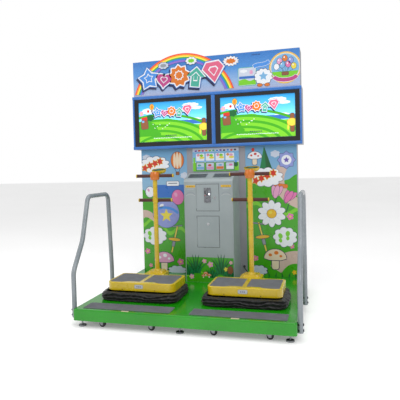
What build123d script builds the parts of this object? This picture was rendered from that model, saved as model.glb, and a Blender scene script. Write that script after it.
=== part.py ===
from build123d import *
import math
import os

# Two-player jumping rhythm game cabinet, in millimetres. The origin is on the floor under the
# middle of the machine: +X to the players' right, +Y away from the players, +Z up.

# Base: a front deck module and a rear module that carries the tower.
HALF_W = 835.0
FRONT_Y = -775.0
BACK_Y = 775.0
SEAM_Y = 250.0
SEAM_GAP = 1.0
DECK_Z0 = 55.0
DECK_Z = 142.0
SKIN = 4.0
CORNER_R = 18.0
RIM_R = 10.0

# Frame tubes, feet and casters under the base.
TUBE = 40.0
TUBE_WALL = 3.0
FRAME_Z0 = 74.0
ROW_FRONT = 59.0
ROW_BACK = 40.0
FOOT_INSET = 50.0
FOOT_R = 30.0
STEM_R = 6.0
CASTER_INNER_X = 235.0
CASTER_OUTER_INSET = 203.0
WHEEL_R = 25.0
WHEEL_W = 20.0
WHEEL_GAP = 2.0
WHEEL_RISE = 2.0
CHEEK_T = 3.0
CASTER_PLATE_HALF = 30.0
CASTER_PLATE_T = 4.0
TRAIL = 18.0
AXLE_R = 4.0
RUN_FIT = 0.05
SMALL_GAP = 0.5

# Step mats in front of the jump trays.
MAT_HALF_W = 348.0
MAT_DEPTH = 154.0
MAT_INSET = 39.0
MAT_T = 3.0

# Handrails.
RAIL_R = 19.0
RAIL_WALL = 2.5
RAIL_TOP_Z = 981.0
RAIL_FRONT_Y = -709.0
RAIL_KNEE_Z = 410.0
RAIL_MID_Y = -548.0
RAIL_MID_Z = 632.0
RAIL_CORNER_Y = -432.0
RAIL_REAR_TOP_Y = -51.0
RAIL_REAR_Y = -11.0
RAIL_FOOT_Z = 60.0
RAIL_GAP = 0.2
BOLT_R = 5.0
BOLT_HEAD_R = 9.0
BOLT_HEAD_T = 5.0
BOLT_Z = (78.0, 118.0)

# Jump units.
UNIT_X = 421.0
TRAY_HALF_W = 289.0
TRAY_Y0 = -430.0
TRAY_Y1 = -80.0
TRAY_Z0 = 212.0
TRAY_Z1 = 278.0
TRAY_WALL = 6.0
TRAY_R = 60.0
TRAY_RIM = 20.0
PAD_DIVIDER = 34.0
PAD_DEEP = 6.0
PAD_T = 5.0
PAD_STEP_FRONT = 30.0
PAD_STEP_BACK = 18.0
PAD_CORNER_R = 22.0
TONGUE_HALF_W = 90.0
TONGUE_Y1 = 80.0
TONGUE_T = 26.0
BELLOWS_HALF_W = 313.0
BELLOWS_Y0 = -505.0
BELLOWS_Y1 = -58.0
BELLOWS_WALL = 8.0
TRAVEL = 45.0
SPRING_R = 30.0
SPRING_WIRE = 3.5
SPRING_TURNS = 7
SPRING_DX = 215.0
SPRING_DY = 95.0
ROD_DX = 110.0
ROD_R = 12.5
BUSH_R = 24.0
PLATE_T = 8.0
PLATE_HALF_W = 262.0
WELL_HALF_W = 255.0
WELL_HALF_D = 138.0

# Handle posts on the jump units.
POST_Y = 9.0
POST_R = 20.0
POST_WALL = 2.5
POST_TOP_Z = 1150.0
POST_FOOT_HALF_W = 72.0
POST_FOOT_HALF_D = 60.0
POST_FOOT_H = 16.0
POST_COLLAR_H = 14.0
POST_COLLAR_R = 34.0
LOW_BAR_Z = 917.0
LOW_BAR_HALF = 156.0
HIGH_BAR_Z = 1132.0
HIGH_BAR_HALF = 173.0
BAR_R = 11.0
GRIP_R = 15.0
GRIP_END = 8.0
HUB_R = 42.0
HUB_H = 72.0
BOWL_R = 66.0
BOWL_WALL = 4.0
BOWL_TILT = 10.0
BOWL_BACK = 120.0
BOWL_Z = 1153.0
ARM_R = 11.0
BOWL_DEPTH = 34.0
BUTTON_R = 30.0
BUTTON_TRAVEL = 4.0

# Tower, upper cabinet, screens and marquee.
BOARD = 18.0
PANEL_T = 6.0
TOWER_HALF_W = 771.0
TOWER_FRONT_Y = 596.0
COLUMN_HALF_W = 291.0
TOWER_TOP_Z = 1388.0
DOOR_HALF_W = 450.0
STEPS_HALF_W = 230.0
STEPS_Z = (1157.0, 1384.0)
STEPS_T = 5.0
STEPS_R = 8.0
DOOR_Z0 = 350.0
DOOR_Z1 = 1300.0
DOOR_T = 12.0
DOOR_GAP = 2.0
UPPER_HALF_W = 827.0
UPPER_TOP_Z = 1920.0
FRAME_FRONT_Y = 530.0
FRAME_DEPTH = 26.0
FRAME_BAR = 31.0
FRAME_SIDE = 18.0
FRAME_EDGE_R = 10.0
DIVIDER_HALF = 19.0
GLASS_Y = 549.0
SCREEN_W = 698.4
SCREEN_H = 392.9
SCREEN_X = 418.0
SCREEN_Z = 1659.3
DISPLAY_T = 50.0
DISPLAY_RIM = 14.0
BEZEL_Y = 541.0
MARQUEE_HALF_W = 816.0
MARQUEE_TOP_Z = 2264.0
MARQUEE_Y = 547.0
ARCH_X = -298.0
ARCH_Z = 1786.5
ARCH_R = 525.5
ARCH_BAND = 84.0
ARCH_FOOT_Z = 1940.0
ARCH_T = 5.0

# Coin cabinet in the middle.
COIN_HALF_W = 228.0
COIN_Y = 252.0
COIN_FACE_Z = 1065.0
COIN_EDGE_Z = 1090.0
COIN_EDGE_Y = 266.0
COIN_SLOPE_Y = 452.0
COIN_TOP_Z = 1145.0
SHEET = 3.0
LID_X = -6.0
COIN_LID_HALF_W = 105.0
COIN_LID_Z = (801.0, 1041.0)
CASH_LID_HALF_W = 102.0
CASH_LID_Z = (468.0, 750.0)
LID_T = 4.0
KNUCKLE_R = 3.0
PIN_R = 1.5
LOCK_R = 9.5
CAM_T = 3.0
CAM_W = 12.0
MECH_HALF_W = 30.5
MECH_Z = (875.0, 1009.0)
MECH_BODY_HALF_W = 26.0
MECH_BODY_D = 60.0
MECH_PLATE_T = 6.0
CUP_HALF_W = 20.0
CUP_H = 36.0
CUP_DEPTH = 34.0
CUP_Z0 = 883.0
REJECT_R = 7.0
REJECT_Z = 948.0
SPEAKER_X = 119.0
GRILLE_HALF_W = 86.0
GRILLE_HALF_D = 56.0


def block(x0, x1, y0, y1, z0, z1):
    """A box between six planes."""
    middle = Pos((x0 + x1) / 2, (y0 + y1) / 2, (z0 + z1) / 2)
    return middle * Box(x1 - x0, y1 - y0, z1 - z0)


def rod(radius, start, end):
    """A round bar between two points."""
    path = Vector(*end) - Vector(*start)
    return extrude(Plane(origin=start, z_dir=path) * Circle(radius), path.length)


def tube_along(axis, x0, x1, y0, y1, z0, z1):
    """A square tube, hollow along the named axis."""
    low = [x0, y0, z0]
    high = [x1, y1, z1]
    inner_low = [v + TUBE_WALL for v in low]
    inner_high = [v - TUBE_WALL for v in high]
    run = "XYZ".index(axis)
    inner_low[run] = low[run]
    inner_high[run] = high[run]
    inner = block(inner_low[0], inner_high[0], inner_low[1], inner_high[1], inner_low[2], inner_high[2])
    return block(x0, x1, y0, y1, z0, z1) - inner


def both_sides(make):
    """The solids that make(side) gives for the left (-1) and right (+1) side."""
    return [make(-1), make(1)]


def save(name, *solids):
    """Write one node's solids as one STEP file."""
    flat = []
    for item in solids:
        if isinstance(item, (list, tuple)):
            flat.extend(item)
        else:
            flat.append(item)
    shape = flat[0]
    if len(flat) > 1:
        shape = Compound(children=[s.solid() if s.solids() else s for s in flat])
    export_step(shape, f"parts/{name}.step")


# ---------------------------------------------------------------- base

FRAME_Z1 = FRAME_Z0 + TUBE
ROW_Y = FRONT_Y + ROW_FRONT
REAR_ROW_Y = BACK_Y - ROW_BACK
UNIT_Y = (TRAY_Y0 + TRAY_Y1) / 2
RAIL_X = HALF_W + RAIL_R + RAIL_GAP
FOOT_X = HALF_W - FOOT_INSET
CASTER_OUTER_X = HALF_W - CASTER_OUTER_INSET
RAIL_LEGS_Y = (RAIL_FRONT_Y, RAIL_REAR_Y)
FOOT_SPOTS = [(x, y) for y in (ROW_Y, REAR_ROW_Y) for x in (-FOOT_X, 0.0, FOOT_X)]
CASTER_SPOTS = {
    "outer_left": -CASTER_OUTER_X,
    "inner_left": -CASTER_INNER_X,
    "inner_right": CASTER_INNER_X,
    "outer_right": CASTER_OUTER_X,
}


def bolt_holes(radius):
    """Cross holes for the handrail bolts, through the rails and the deck's side walls."""
    holes = []
    for side in (-1, 1):
        for y in RAIL_LEGS_Y:
            for z in BOLT_Z:
                outer = side * (RAIL_X + RAIL_R + BOLT_HEAD_T)
                inner = side * (HALF_W - SKIN - 1)
                holes.append(rod(radius, (outer, y, z), (inner, y, z)))
    return holes


def base_skin(y0, y1, round_end):
    """A moulded base cover: a top and a skirt, open below, with rounded outer corners."""
    outer = block(-HALF_W, HALF_W, y0, y1, DECK_Z0, DECK_Z)
    corners = outer.edges().filter_by(Axis.Z).group_by(Axis.Y)[round_end]
    outer = fillet(corners, CORNER_R)
    rim = outer.faces().sort_by(Axis.Z)[-1].edges()
    seam = rim.group_by(Axis.Y)[-1 if round_end == 0 else 0]
    outer = fillet([e for e in rim if e not in seam], RIM_R)
    inner = block(-HALF_W + SKIN, HALF_W - SKIN, y0 + SKIN, y1 - SKIN, DECK_Z0 - 1, DECK_Z - SKIN)
    inner = fillet(inner.edges().filter_by(Axis.Z).group_by(Axis.Y)[round_end], CORNER_R - SKIN)
    return outer - inner


def deck_shell():
    """The front deck, with a well for each jump unit's springs and guides."""
    shell = base_skin(FRONT_Y, SEAM_Y - SEAM_GAP, 0)
    for side in (-1, 1):
        x = side * UNIT_X
        well = block(x - WELL_HALF_W, x + WELL_HALF_W, UNIT_Y - WELL_HALF_D, UNIT_Y + WELL_HALF_D,
                     DECK_Z - 2 * SKIN, DECK_Z + SKIN)
        shell -= well
    for hole in bolt_holes(BOLT_R + SMALL_GAP):
        shell -= hole
    shell -= rod(CABLE_R + SMALL_GAP, (CABLE_END[0], CABLE_END[1], DECK_Z - 2 * SKIN),
                 (CABLE_END[0], CABLE_END[1], DECK_Z + SKIN))
    return shell


FRAME_HALF_W = HALF_W - SKIN - 14
CROSS_Y = (ROW_Y, TRAY_Y0 - TUBE / 2, -60.0, 175.0)
REAR_CROSS_Y = (SEAM_Y + SKIN + TUBE, 515.0, REAR_ROW_Y)


def frame_module(rows):
    """Square tubes: one across at each row, joined by runs at both ends and in the middle."""
    tubes = []
    for y in rows:
        tubes.append(tube_along("X", -FRAME_HALF_W, FRAME_HALF_W, y - TUBE / 2, y + TUBE / 2,
                                FRAME_Z0, FRAME_Z1))
    for low, high in zip(rows[:-1], rows[1:]):
        for x in (-FRAME_HALF_W + TUBE / 2, 0.0, FRAME_HALF_W - TUBE / 2):
            tubes.append(tube_along("Y", x - TUBE / 2, x + TUBE / 2, low + TUBE / 2, high - TUBE / 2,
                                    FRAME_Z0, FRAME_Z1))
    return tubes


def caster_plate(x, y):
    """The square plate that a caster hangs from, welded under the frame."""
    half = CASTER_PLATE_HALF
    return block(x - half, x + half, y - half, y + half, FRAME_Z0 - CASTER_PLATE_T, FRAME_Z0)


def rear_fork(x):
    """A rigid caster bracket: plate, two cheeks and the axle."""
    y = REAR_ROW_Y
    half = WHEEL_W / 2 + WHEEL_GAP
    z_axle = WHEEL_R + WHEEL_RISE
    plate = caster_plate(x, y)
    for side in (-1, 1):
        a = x + side * half
        b = x + side * (half + CHEEK_T)
        plate += block(min(a, b), max(a, b), y - 14, y + 14, z_axle - 10, FRAME_Z0 - CASTER_PLATE_T)
    return plate + rod(AXLE_R, (x - half, y, z_axle), (x + half, y, z_axle))


def deck_frame():
    """The welded frames of both modules, with their caster plates."""
    pieces = []
    for tube in frame_module(CROSS_Y) + frame_module(REAR_CROSS_Y):
        for x, y in FOOT_SPOTS:
            if tube.bounding_box().min.Y < y < tube.bounding_box().max.Y and abs(x) < FRAME_HALF_W:
                tube -= rod(STEM_R + SMALL_GAP, (x, y, FRAME_Z0 - 1), (x, y, FRAME_Z0 + TUBE_WALL + 1))
        pieces.append(tube)
    for x in CASTER_SPOTS.values():
        bore = rod(STEM_R + RUN_FIT, (x, ROW_Y, FRAME_Z0 - CASTER_PLATE_T - 1), (x, ROW_Y, FRAME_Z0 + 1))
        pieces.append(caster_plate(x, ROW_Y) - bore)
    pieces += both_sides(lambda side: rear_fork(side * CASTER_OUTER_X))
    return pieces


def levelling_foot(x, y):
    """A foot pad, its threaded stem and the lock nut under the frame."""
    pad = Pos(x, y, 6) * Cylinder(FOOT_R, 12)
    pad = fillet(pad.edges().group_by(Axis.Z)[-1], 4)
    stem = rod(STEM_R, (x, y, 12), (x, y, FRAME_Z0 + 20))
    nut = extrude(Pos(x, y, FRAME_Z0 - 10) * RegularPolygon(10, 6), 8)
    return pad + stem + nut


def swivel_fork(x):
    """A caster fork on its kingpin, trailing along X, with the axle pressed in."""
    half = WHEEL_W / 2 + WHEEL_GAP
    z_axle = WHEEL_R + WHEEL_RISE
    top = FRAME_Z0 - CASTER_PLATE_T - SMALL_GAP
    centre = x + TRAIL
    crown = block(x - 18, centre + 14, ROW_Y - half - CHEEK_T, ROW_Y + half + CHEEK_T, top - 4, top)
    crown += rod(STEM_R, (x, ROW_Y, top), (x, ROW_Y, FRAME_Z0))
    for side in (-1, 1):
        far = ROW_Y + max(side * half, side * (half + CHEEK_T))
        outline = make_face(Polyline((x - 18, top - 4), (centre + 14, top - 4), (centre + 9, z_axle - 9),
                                     (centre - 9, z_axle - 9), close=True))
        crown += extrude(Plane.XZ.offset(-far) * outline, CHEEK_T)
    return crown + rod(AXLE_R, (centre, ROW_Y - half, z_axle), (centre, ROW_Y + half, z_axle))


def wheel(centre, direction):
    """A caster wheel with a rounded tread, a hub and a bore that runs on the axle."""
    flat = Plane(origin=centre, z_dir=direction)
    disc = flat * Cylinder(WHEEL_R, WHEEL_W)
    disc = fillet(disc.edges().filter_by(GeomType.CIRCLE), 4)
    for side in (-1, 1):
        disc -= flat * Pos(0, 0, side * WHEEL_W / 2) * (Cylinder(WHEEL_R - 8, 6) - Cylinder(9, 6))
    return disc - flat * Cylinder(AXLE_R + RUN_FIT, WHEEL_W + 2)


def rear_wheel(side):
    """A rear wheel in its rigid bracket."""
    return wheel((side * CASTER_OUTER_X, REAR_ROW_Y, WHEEL_R + WHEEL_RISE), (1, 0, 0))


def step_mat(side):
    """A flat anti-slip mat on the deck in front of a jump tray."""
    x = side * UNIT_X
    y0 = FRONT_Y + MAT_INSET
    mat = block(x - MAT_HALF_W, x + MAT_HALF_W, y0, y0 + MAT_DEPTH, DECK_Z, DECK_Z + MAT_T)
    return fillet(mat.edges().filter_by(Axis.Z), 10)


# ---------------------------------------------------------------- handrails

def handrail(side):
    """A bent steel tube: straight front leg, sloped front, level top and a rear leg."""
    x = side * RAIL_X
    corners = [
        (x, RAIL_FRONT_Y, RAIL_FOOT_Z),
        (x, RAIL_FRONT_Y, RAIL_KNEE_Z),
        (x, RAIL_MID_Y, RAIL_MID_Z),
        (x, RAIL_CORNER_Y, RAIL_TOP_Z),
        (x, RAIL_REAR_TOP_Y, RAIL_TOP_Z),
        (x, RAIL_REAR_Y, RAIL_MID_Z / 2),
        (x, RAIL_REAR_Y, RAIL_FOOT_Z),
    ]
    path = FilletPolyline(*corners, radius=[120, 240, 62, 66, 300])
    start = Plane(origin=corners[0], z_dir=(0, 0, 1))
    ring = start * (Circle(RAIL_R) - Circle(RAIL_R - RAIL_WALL))
    rail = sweep(ring, path=path)
    for hole in bolt_holes(BOLT_R + SMALL_GAP):
        if hole.bounding_box().center().X * side > 0:
            rail -= hole
    return rail


def handrail_bolt(side, y, z):
    """A domed bolt through the rail leg and the deck's side wall, with a nut inside."""
    face = side * (RAIL_X + RAIL_R)
    head = rod(BOLT_HEAD_R, (face, y, z), (face + side * BOLT_HEAD_T, y, z))
    outer_rim = head.edges().sort_by(Axis.X)[-1 if side > 0 else 0]
    head = fillet(outer_rim, 2)
    end = side * (HALF_W - SKIN - 9)
    shank = rod(BOLT_R, (face, y, z), (end, y, z))
    nut = rod(BOLT_HEAD_R - 1, (side * (HALF_W - SKIN), y, z), (side * (HALF_W - SKIN - 6), y, z))
    return head + shank + nut


def handrail_bolts():
    """Every handrail bolt: two in each of the four legs."""
    return [handrail_bolt(side, y, z) for side in (-1, 1) for y in RAIL_LEGS_Y for z in BOLT_Z]


# ---------------------------------------------------------------- jump units

PLATE_Z1 = FRAME_Z1 + PLATE_T
TRAY_CEILING = TRAY_Z1 - PAD_DEEP - TRAY_WALL
ROD_Z0 = FRAME_Z0 + 2


def rounded_tray(half_w, y0, y1, z0, z1, x, front_r, rear_r):
    """A flat box with rounded upright corners, larger at the front."""
    shape = block(x - half_w, x + half_w, y0, y1, z0, z1)
    uprights = shape.edges().filter_by(Axis.Z)
    shape = fillet(uprights.group_by(Axis.Y)[0], front_r)
    uprights = shape.edges().filter_by(Axis.Z).group_by(Axis.Y)[-1]
    return fillet(uprights, rear_r)


def pad_outline(x, hand, grow):
    """One foot pad's outline, grown by a gap: both ends step outward over the outer half, as a shoe sole does."""
    back = TRAY_Y1 - TRAY_RIM + grow
    front = TRAY_Y0 + TRAY_RIM - grow
    inner = x - hand * (PAD_HALF_W + grow)
    outer = x + hand * (PAD_HALF_W + grow)
    near = x - hand * 0.35 * PAD_HALF_W
    far = x + hand * 0.2 * PAD_HALF_W
    face = make_face([
        Line((inner, front + PAD_STEP_FRONT), (near, front + PAD_STEP_FRONT)),
        Spline((near, front + PAD_STEP_FRONT), (far, front), tangents=[(hand, 0), (hand, 0)]),
        Line((far, front), (outer, front)),
        Line((outer, front), (outer, back)),
        Line((outer, back), (far, back)),
        Spline((far, back), (near, back - PAD_STEP_BACK), tangents=[(-hand, 0), (-hand, 0)]),
        Line((near, back - PAD_STEP_BACK), (inner, back - PAD_STEP_BACK)),
        Line((inner, back - PAD_STEP_BACK), (inner, front + PAD_STEP_FRONT)),
    ])
    corners = face.vertices().sort_by(Axis.X)
    ends = corners[-2:] if hand > 0 else corners[:2]
    return fillet(ends, PAD_CORNER_R + grow)


PAD_HALF_W = (2 * TRAY_HALF_W - 2 * TRAY_RIM - PAD_DIVIDER) / 4
PAD_DX = PAD_HALF_W + PAD_DIVIDER / 2


def tray(side):
    """The footboard: a pressed pan with two pad recesses, a rear tongue and rod bosses."""
    x = side * UNIT_X
    pan = rounded_tray(TRAY_HALF_W, TRAY_Y0, TRAY_Y1, TRAY_Z0, TRAY_Z1, x, TRAY_R, TRAY_R / 2)
    top = pan.faces().sort_by(Axis.Z)[-1].edges()
    pan = fillet(top, 6)
    pan -= rounded_tray(TRAY_HALF_W - TRAY_WALL, TRAY_Y0 + TRAY_WALL, TRAY_Y1 - TRAY_WALL, TRAY_Z0 - 1,
                        TRAY_CEILING, x, TRAY_R - TRAY_WALL, TRAY_R / 2 - TRAY_WALL)
    for step in (-1, 1):
        recess = pad_outline(x + step * PAD_DX, step, SMALL_GAP)
        pan -= extrude(Pos(0, 0, TRAY_Z1 - PAD_DEEP) * recess, PAD_DEEP + 1, dir=(0, 0, 1))
    tongue = block(x - TONGUE_HALF_W, x + TONGUE_HALF_W, TRAY_Y1 - 1, TONGUE_Y1,
                   TRAY_Z1 - TONGUE_T, TRAY_Z1)
    tongue = fillet(tongue.edges().filter_by(Axis.Z).group_by(Axis.Y)[-1], 24)
    pan += tongue
    for step in (-1, 1):
        spot = (x + step * ROD_DX, UNIT_Y)
        pan += rod(ROD_R + 6, (*spot, TRAY_CEILING - 24), (*spot, TRAY_CEILING))
        pan -= rod(ROD_R, (*spot, TRAY_CEILING - 25), (*spot, TRAY_CEILING - 2))
    return pan


def foot_pads(side):
    """Two anti-slip pads that lie in the tray's recesses."""
    x = side * UNIT_X
    pads = []
    for step in (-1, 1):
        outline = pad_outline(x + step * PAD_DX, step, 0)
        pads.append(extrude(Pos(0, 0, TRAY_Z1 - PAD_DEEP) * outline, PAD_T, dir=(0, 0, 1)))
    return pads


def guide_rods(side):
    """Two ground rods, pressed into the tray's bosses, that slide in the deck's bushes."""
    x = side * UNIT_X
    spots = [(x + step * ROD_DX, UNIT_Y) for step in (-1, 1)]
    return [rod(ROD_R, (*spot, ROD_Z0), (*spot, TRAY_CEILING - 2)) for spot in spots]


def guide_base(side):
    """The plate across the frame tubes, with a bush for each rod and a seat for each spring."""
    x = side * UNIT_X
    y0 = CROSS_Y[1] - TUBE / 2
    y1 = CROSS_Y[2] + TUBE / 2
    plate = block(x - PLATE_HALF_W, x + PLATE_HALF_W, y0, y1, FRAME_Z1, PLATE_Z1)
    for step in (-1, 1):
        spot = (x + step * ROD_DX, UNIT_Y)
        plate += rod(BUSH_R, (*spot, FRAME_Z0 + 8), (*spot, PLATE_Z1 + 30))
        plate -= rod(ROD_R + RUN_FIT, (*spot, FRAME_Z0), (*spot, PLATE_Z1 + 31))
    for dx, dy in spring_spots():
        plate += rod(SPRING_R - 2 * SPRING_WIRE - 2, (x + dx, UNIT_Y + dy, PLATE_Z1),
                     (x + dx, UNIT_Y + dy, PLATE_Z1 + 12))
    return plate


def spring_spots():
    """The four springs' offsets from the unit's middle."""
    return [(dx, dy) for dx in (-SPRING_DX, SPRING_DX) for dy in (-SPRING_DY, SPRING_DY)]


def springs(side):
    """Four compression springs between the guide base and the tray."""
    z0 = PLATE_Z1 + SPRING_WIRE + 0.3
    length = TRAY_CEILING - SPRING_WIRE - 0.3 - z0
    path_r = SPRING_R - SPRING_WIRE
    coils = []
    for dx, dy in spring_spots():
        foot = Pos(side * UNIT_X + dx, UNIT_Y + dy, z0)
        helix = Helix(pitch=length / SPRING_TURNS, height=length, radius=path_r)
        wire = Plane(origin=helix @ 0, z_dir=helix % 0) * Circle(SPRING_WIRE)
        coils.append(foot * sweep(wire, path=helix, is_frenet=True))
    return coils


def bellows(side):
    """The gaiter between deck and tray: a closed ring wall that bulges between its two rims."""
    x = side * UNIT_X
    height = TRAY_Z0 - DECK_Z
    outer = rounded_tray(BELLOWS_HALF_W, BELLOWS_Y0, BELLOWS_Y1, DECK_Z + SMALL_GAP, TRAY_Z0 - SMALL_GAP,
                         x, 80, 60)
    outer = fillet(outer.faces().sort_by(Axis.Z)[-1].edges(), height * 0.36)
    inner = rounded_tray(TRAY_HALF_W - 20, TRAY_Y0 + 20, TRAY_Y1 - 14, DECK_Z - 1, TRAY_Z0 + 1, x, 50, 40)
    return outer - inner


def post(side):
    """The handle post: a foot plate with a collar, a round tube and two crossbars, welded together."""
    x = side * UNIT_X
    seat = Pos(x, POST_Y, TRAY_Z1)
    low = seat * RectangleRounded(2 * POST_FOOT_HALF_W, 2 * POST_FOOT_HALF_D, 26)
    top = seat * Pos(0, 0, POST_FOOT_H) * RectangleRounded(2 * POST_FOOT_HALF_W - 14, 2 * POST_FOOT_HALF_D - 14, 22)
    shape = loft([low, top])
    shape += seat * Pos(0, 0, POST_FOOT_H + POST_COLLAR_H / 2) * Cone(POST_COLLAR_R, POST_R + 3, POST_COLLAR_H)
    shape += rod(POST_R, (x, POST_Y, TRAY_Z1), (x, POST_Y, POST_TOP_Z))
    shape -= rod(POST_R - POST_WALL, (x, POST_Y, TRAY_Z1 - 1), (x, POST_Y, POST_TOP_Z + 1))
    for z, half in ((LOW_BAR_Z, LOW_BAR_HALF), (HIGH_BAR_Z, HIGH_BAR_HALF)):
        shape += rod(BAR_R, (x - half + GRIP_END, POST_Y, z), (x + half - GRIP_END, POST_Y, z))
        for end in (-1, 1):
            cap = rod(GRIP_R + 1, (x + end * half, POST_Y, z), (x + end * (half - GRIP_END), POST_Y, z))
            shape += cap
    collar = rod(POST_R + 4, (x, POST_Y, LOW_BAR_Z - 22), (x, POST_Y, LOW_BAR_Z + 22))
    return shape + collar


def grips(side):
    """Four foam sleeves on the crossbars."""
    x = side * UNIT_X
    sleeves = []
    inner_ends = ((LOW_BAR_Z, LOW_BAR_HALF, POST_R + 5), (HIGH_BAR_Z, HIGH_BAR_HALF, HUB_R + 1))
    for z, half, inner in inner_ends:
        for end in (-1, 1):
            a = (x + end * inner, POST_Y, z)
            b = (x + end * (half - GRIP_END - SMALL_GAP), POST_Y, z)
            sleeves.append(rod(GRIP_R, a, b) - rod(BAR_R + 0.1, a, b))
    return sleeves


def hub(side):
    """The barrel-shaped hub that covers the joint of post and upper crossbar."""
    x = side * UNIT_X
    barrel = hub_barrel(side) - rod(POST_R + 0.1, (x, POST_Y, HUB_Z0 - 1), (x, POST_Y, POST_TOP_Z + 0.2))
    return barrel - rod(BAR_R + 0.1, (x - HUB_R - 1, POST_Y, HIGH_BAR_Z), (x + HUB_R + 1, POST_Y, HIGH_BAR_Z))


HUB_Z0 = HIGH_BAR_Z - HUB_H / 2


def hub_barrel(side):
    """The hub's outer shape, solid."""
    z0 = HUB_Z0
    z1 = HIGH_BAR_Z + HUB_H / 2
    barrel = revolve(Plane.XZ * make_face([
        Line((0, z0), (HUB_R - 6, z0)),
        ThreePointArc((HUB_R - 6, z0), (HUB_R, HIGH_BAR_Z), (HUB_R - 6, z1)),
        Line((HUB_R - 6, z1), (0, z1)),
        Line((0, z1), (0, z0)),
    ]), Axis.Z)
    return Pos(side * UNIT_X, POST_Y, 0) * barrel


def bowl_frame(side):
    """The bowl's own plane, behind the post; its mouth tilts toward the player."""
    return Plane(origin=(side * UNIT_X, POST_Y + BOWL_BACK, BOWL_Z),
                 x_dir=(1, 0, 0),
                 z_dir=(0, -math.sin(math.radians(BOWL_TILT)), math.cos(math.radians(BOWL_TILT))))


def start_bowl(side):
    """The round switch pod: a dish with a wall and a floor, on an arm from the back of the hub."""
    plane = bowl_frame(side)
    profile = make_face([
        Line((0, 0), (BOWL_R - 22, 0)),
        ThreePointArc((BOWL_R - 22, 0), (BOWL_R - 5, 12), (BOWL_R, BOWL_DEPTH)),
        Line((BOWL_R, BOWL_DEPTH), (BOWL_R - BOWL_WALL, BOWL_DEPTH)),
        Line((BOWL_R - BOWL_WALL, BOWL_DEPTH), (BOWL_R - BOWL_WALL, BOWL_DEPTH - 6)),
        Line((BOWL_R - BOWL_WALL, BOWL_DEPTH - 6), (BUTTON_R + RUN_FIT, BOWL_DEPTH - 6)),
        Line((BUTTON_R + RUN_FIT, BOWL_DEPTH - 6), (BUTTON_R + RUN_FIT, 10)),
        Line((BUTTON_R + RUN_FIT, 10), (0, 10)),
        Line((0, 10), (0, 0)),
    ])
    dish = plane * revolve(Plane.XZ * profile, Axis.Z)
    x = side * UNIT_X
    back_y = POST_Y + BOWL_BACK
    arm = rod(ARM_R, (x, POST_Y, HIGH_BAR_Z), (x, back_y + ARM_R, HIGH_BAR_Z))
    arm += rod(ARM_R, (x, back_y, HIGH_BAR_Z), (x, back_y, BOWL_Z + 5))
    return dish + (arm - hub_barrel(side))


def start_button(side):
    """The domed push button in the middle of the bowl, above its switch travel."""
    plane = bowl_frame(side)
    low = 10 + BUTTON_TRAVEL + 1
    cap = plane * Pos(0, 0, (low + BOWL_DEPTH + 2) / 2) * Cylinder(BUTTON_R, BOWL_DEPTH + 2 - low)
    top = cap.faces().sort_by(Axis.Z)[-1].edges()
    return fillet(top, 4)


# ---------------------------------------------------------------- tower

BACK_IN = BACK_Y - BOARD
PANEL_BACK = TOWER_FRONT_Y + PANEL_T


def hinge_pair(x, y, z0, z1):
    """A three-knuckle hinge about an upright axis: fixed knuckles and the door's knuckle with its pin."""
    third = (z1 - z0) / 3
    fixed = []
    for low in (z0, z1 - third):
        barrel = rod(KNUCKLE_R, (x, y, low), (x, y, low + third))
        fixed.append(barrel - rod(PIN_R + RUN_FIT, (x, y, low - 1), (x, y, low + third + 1)))
    moving = rod(KNUCKLE_R, (x, y, z0 + third + SMALL_GAP), (x, y, z1 - third - SMALL_GAP))
    moving += rod(PIN_R, (x, y, z0), (x, y, z1))
    return fixed, moving


def hinge_notches(x, y, z0, z1):
    """Clearance round the knuckles: cut from the door at the fixed ones, from the frame at the moving one."""
    third = (z1 - z0) / 3
    wide = KNUCKLE_R + SMALL_GAP
    from_door = [rod(wide, (x, y, z0 - 1), (x, y, z0 + third + SMALL_GAP)),
                 rod(wide, (x, y, z1 - third - SMALL_GAP), (x, y, z1 + 1))]
    from_frame = rod(wide, (x, y, z0 + third), (x, y, z1 - third))
    return from_door, from_frame


SERVICE_FACE = BACK_Y - KNUCKLE_R
SERVICE_HINGE = (DOOR_HALF_W + DOOR_GAP / 2, SERVICE_FACE, DOOR_Z0 + 60, DOOR_Z1 - 60)
INLET_X = -400.0
INLET_Z = 230.0
INLET_HALF_W = 26.0
INLET_HALF_H = 17.0
SWITCH_Z = 275.0


def side_board(side, half_w, y0, z0, z1):
    """An upright side board of a box that is 2 * half_w wide."""
    outer = side * half_w
    inner = side * (half_w - BOARD)
    return block(min(inner, outer), max(inner, outer), y0, BACK_IN, z0, z1)


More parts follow.
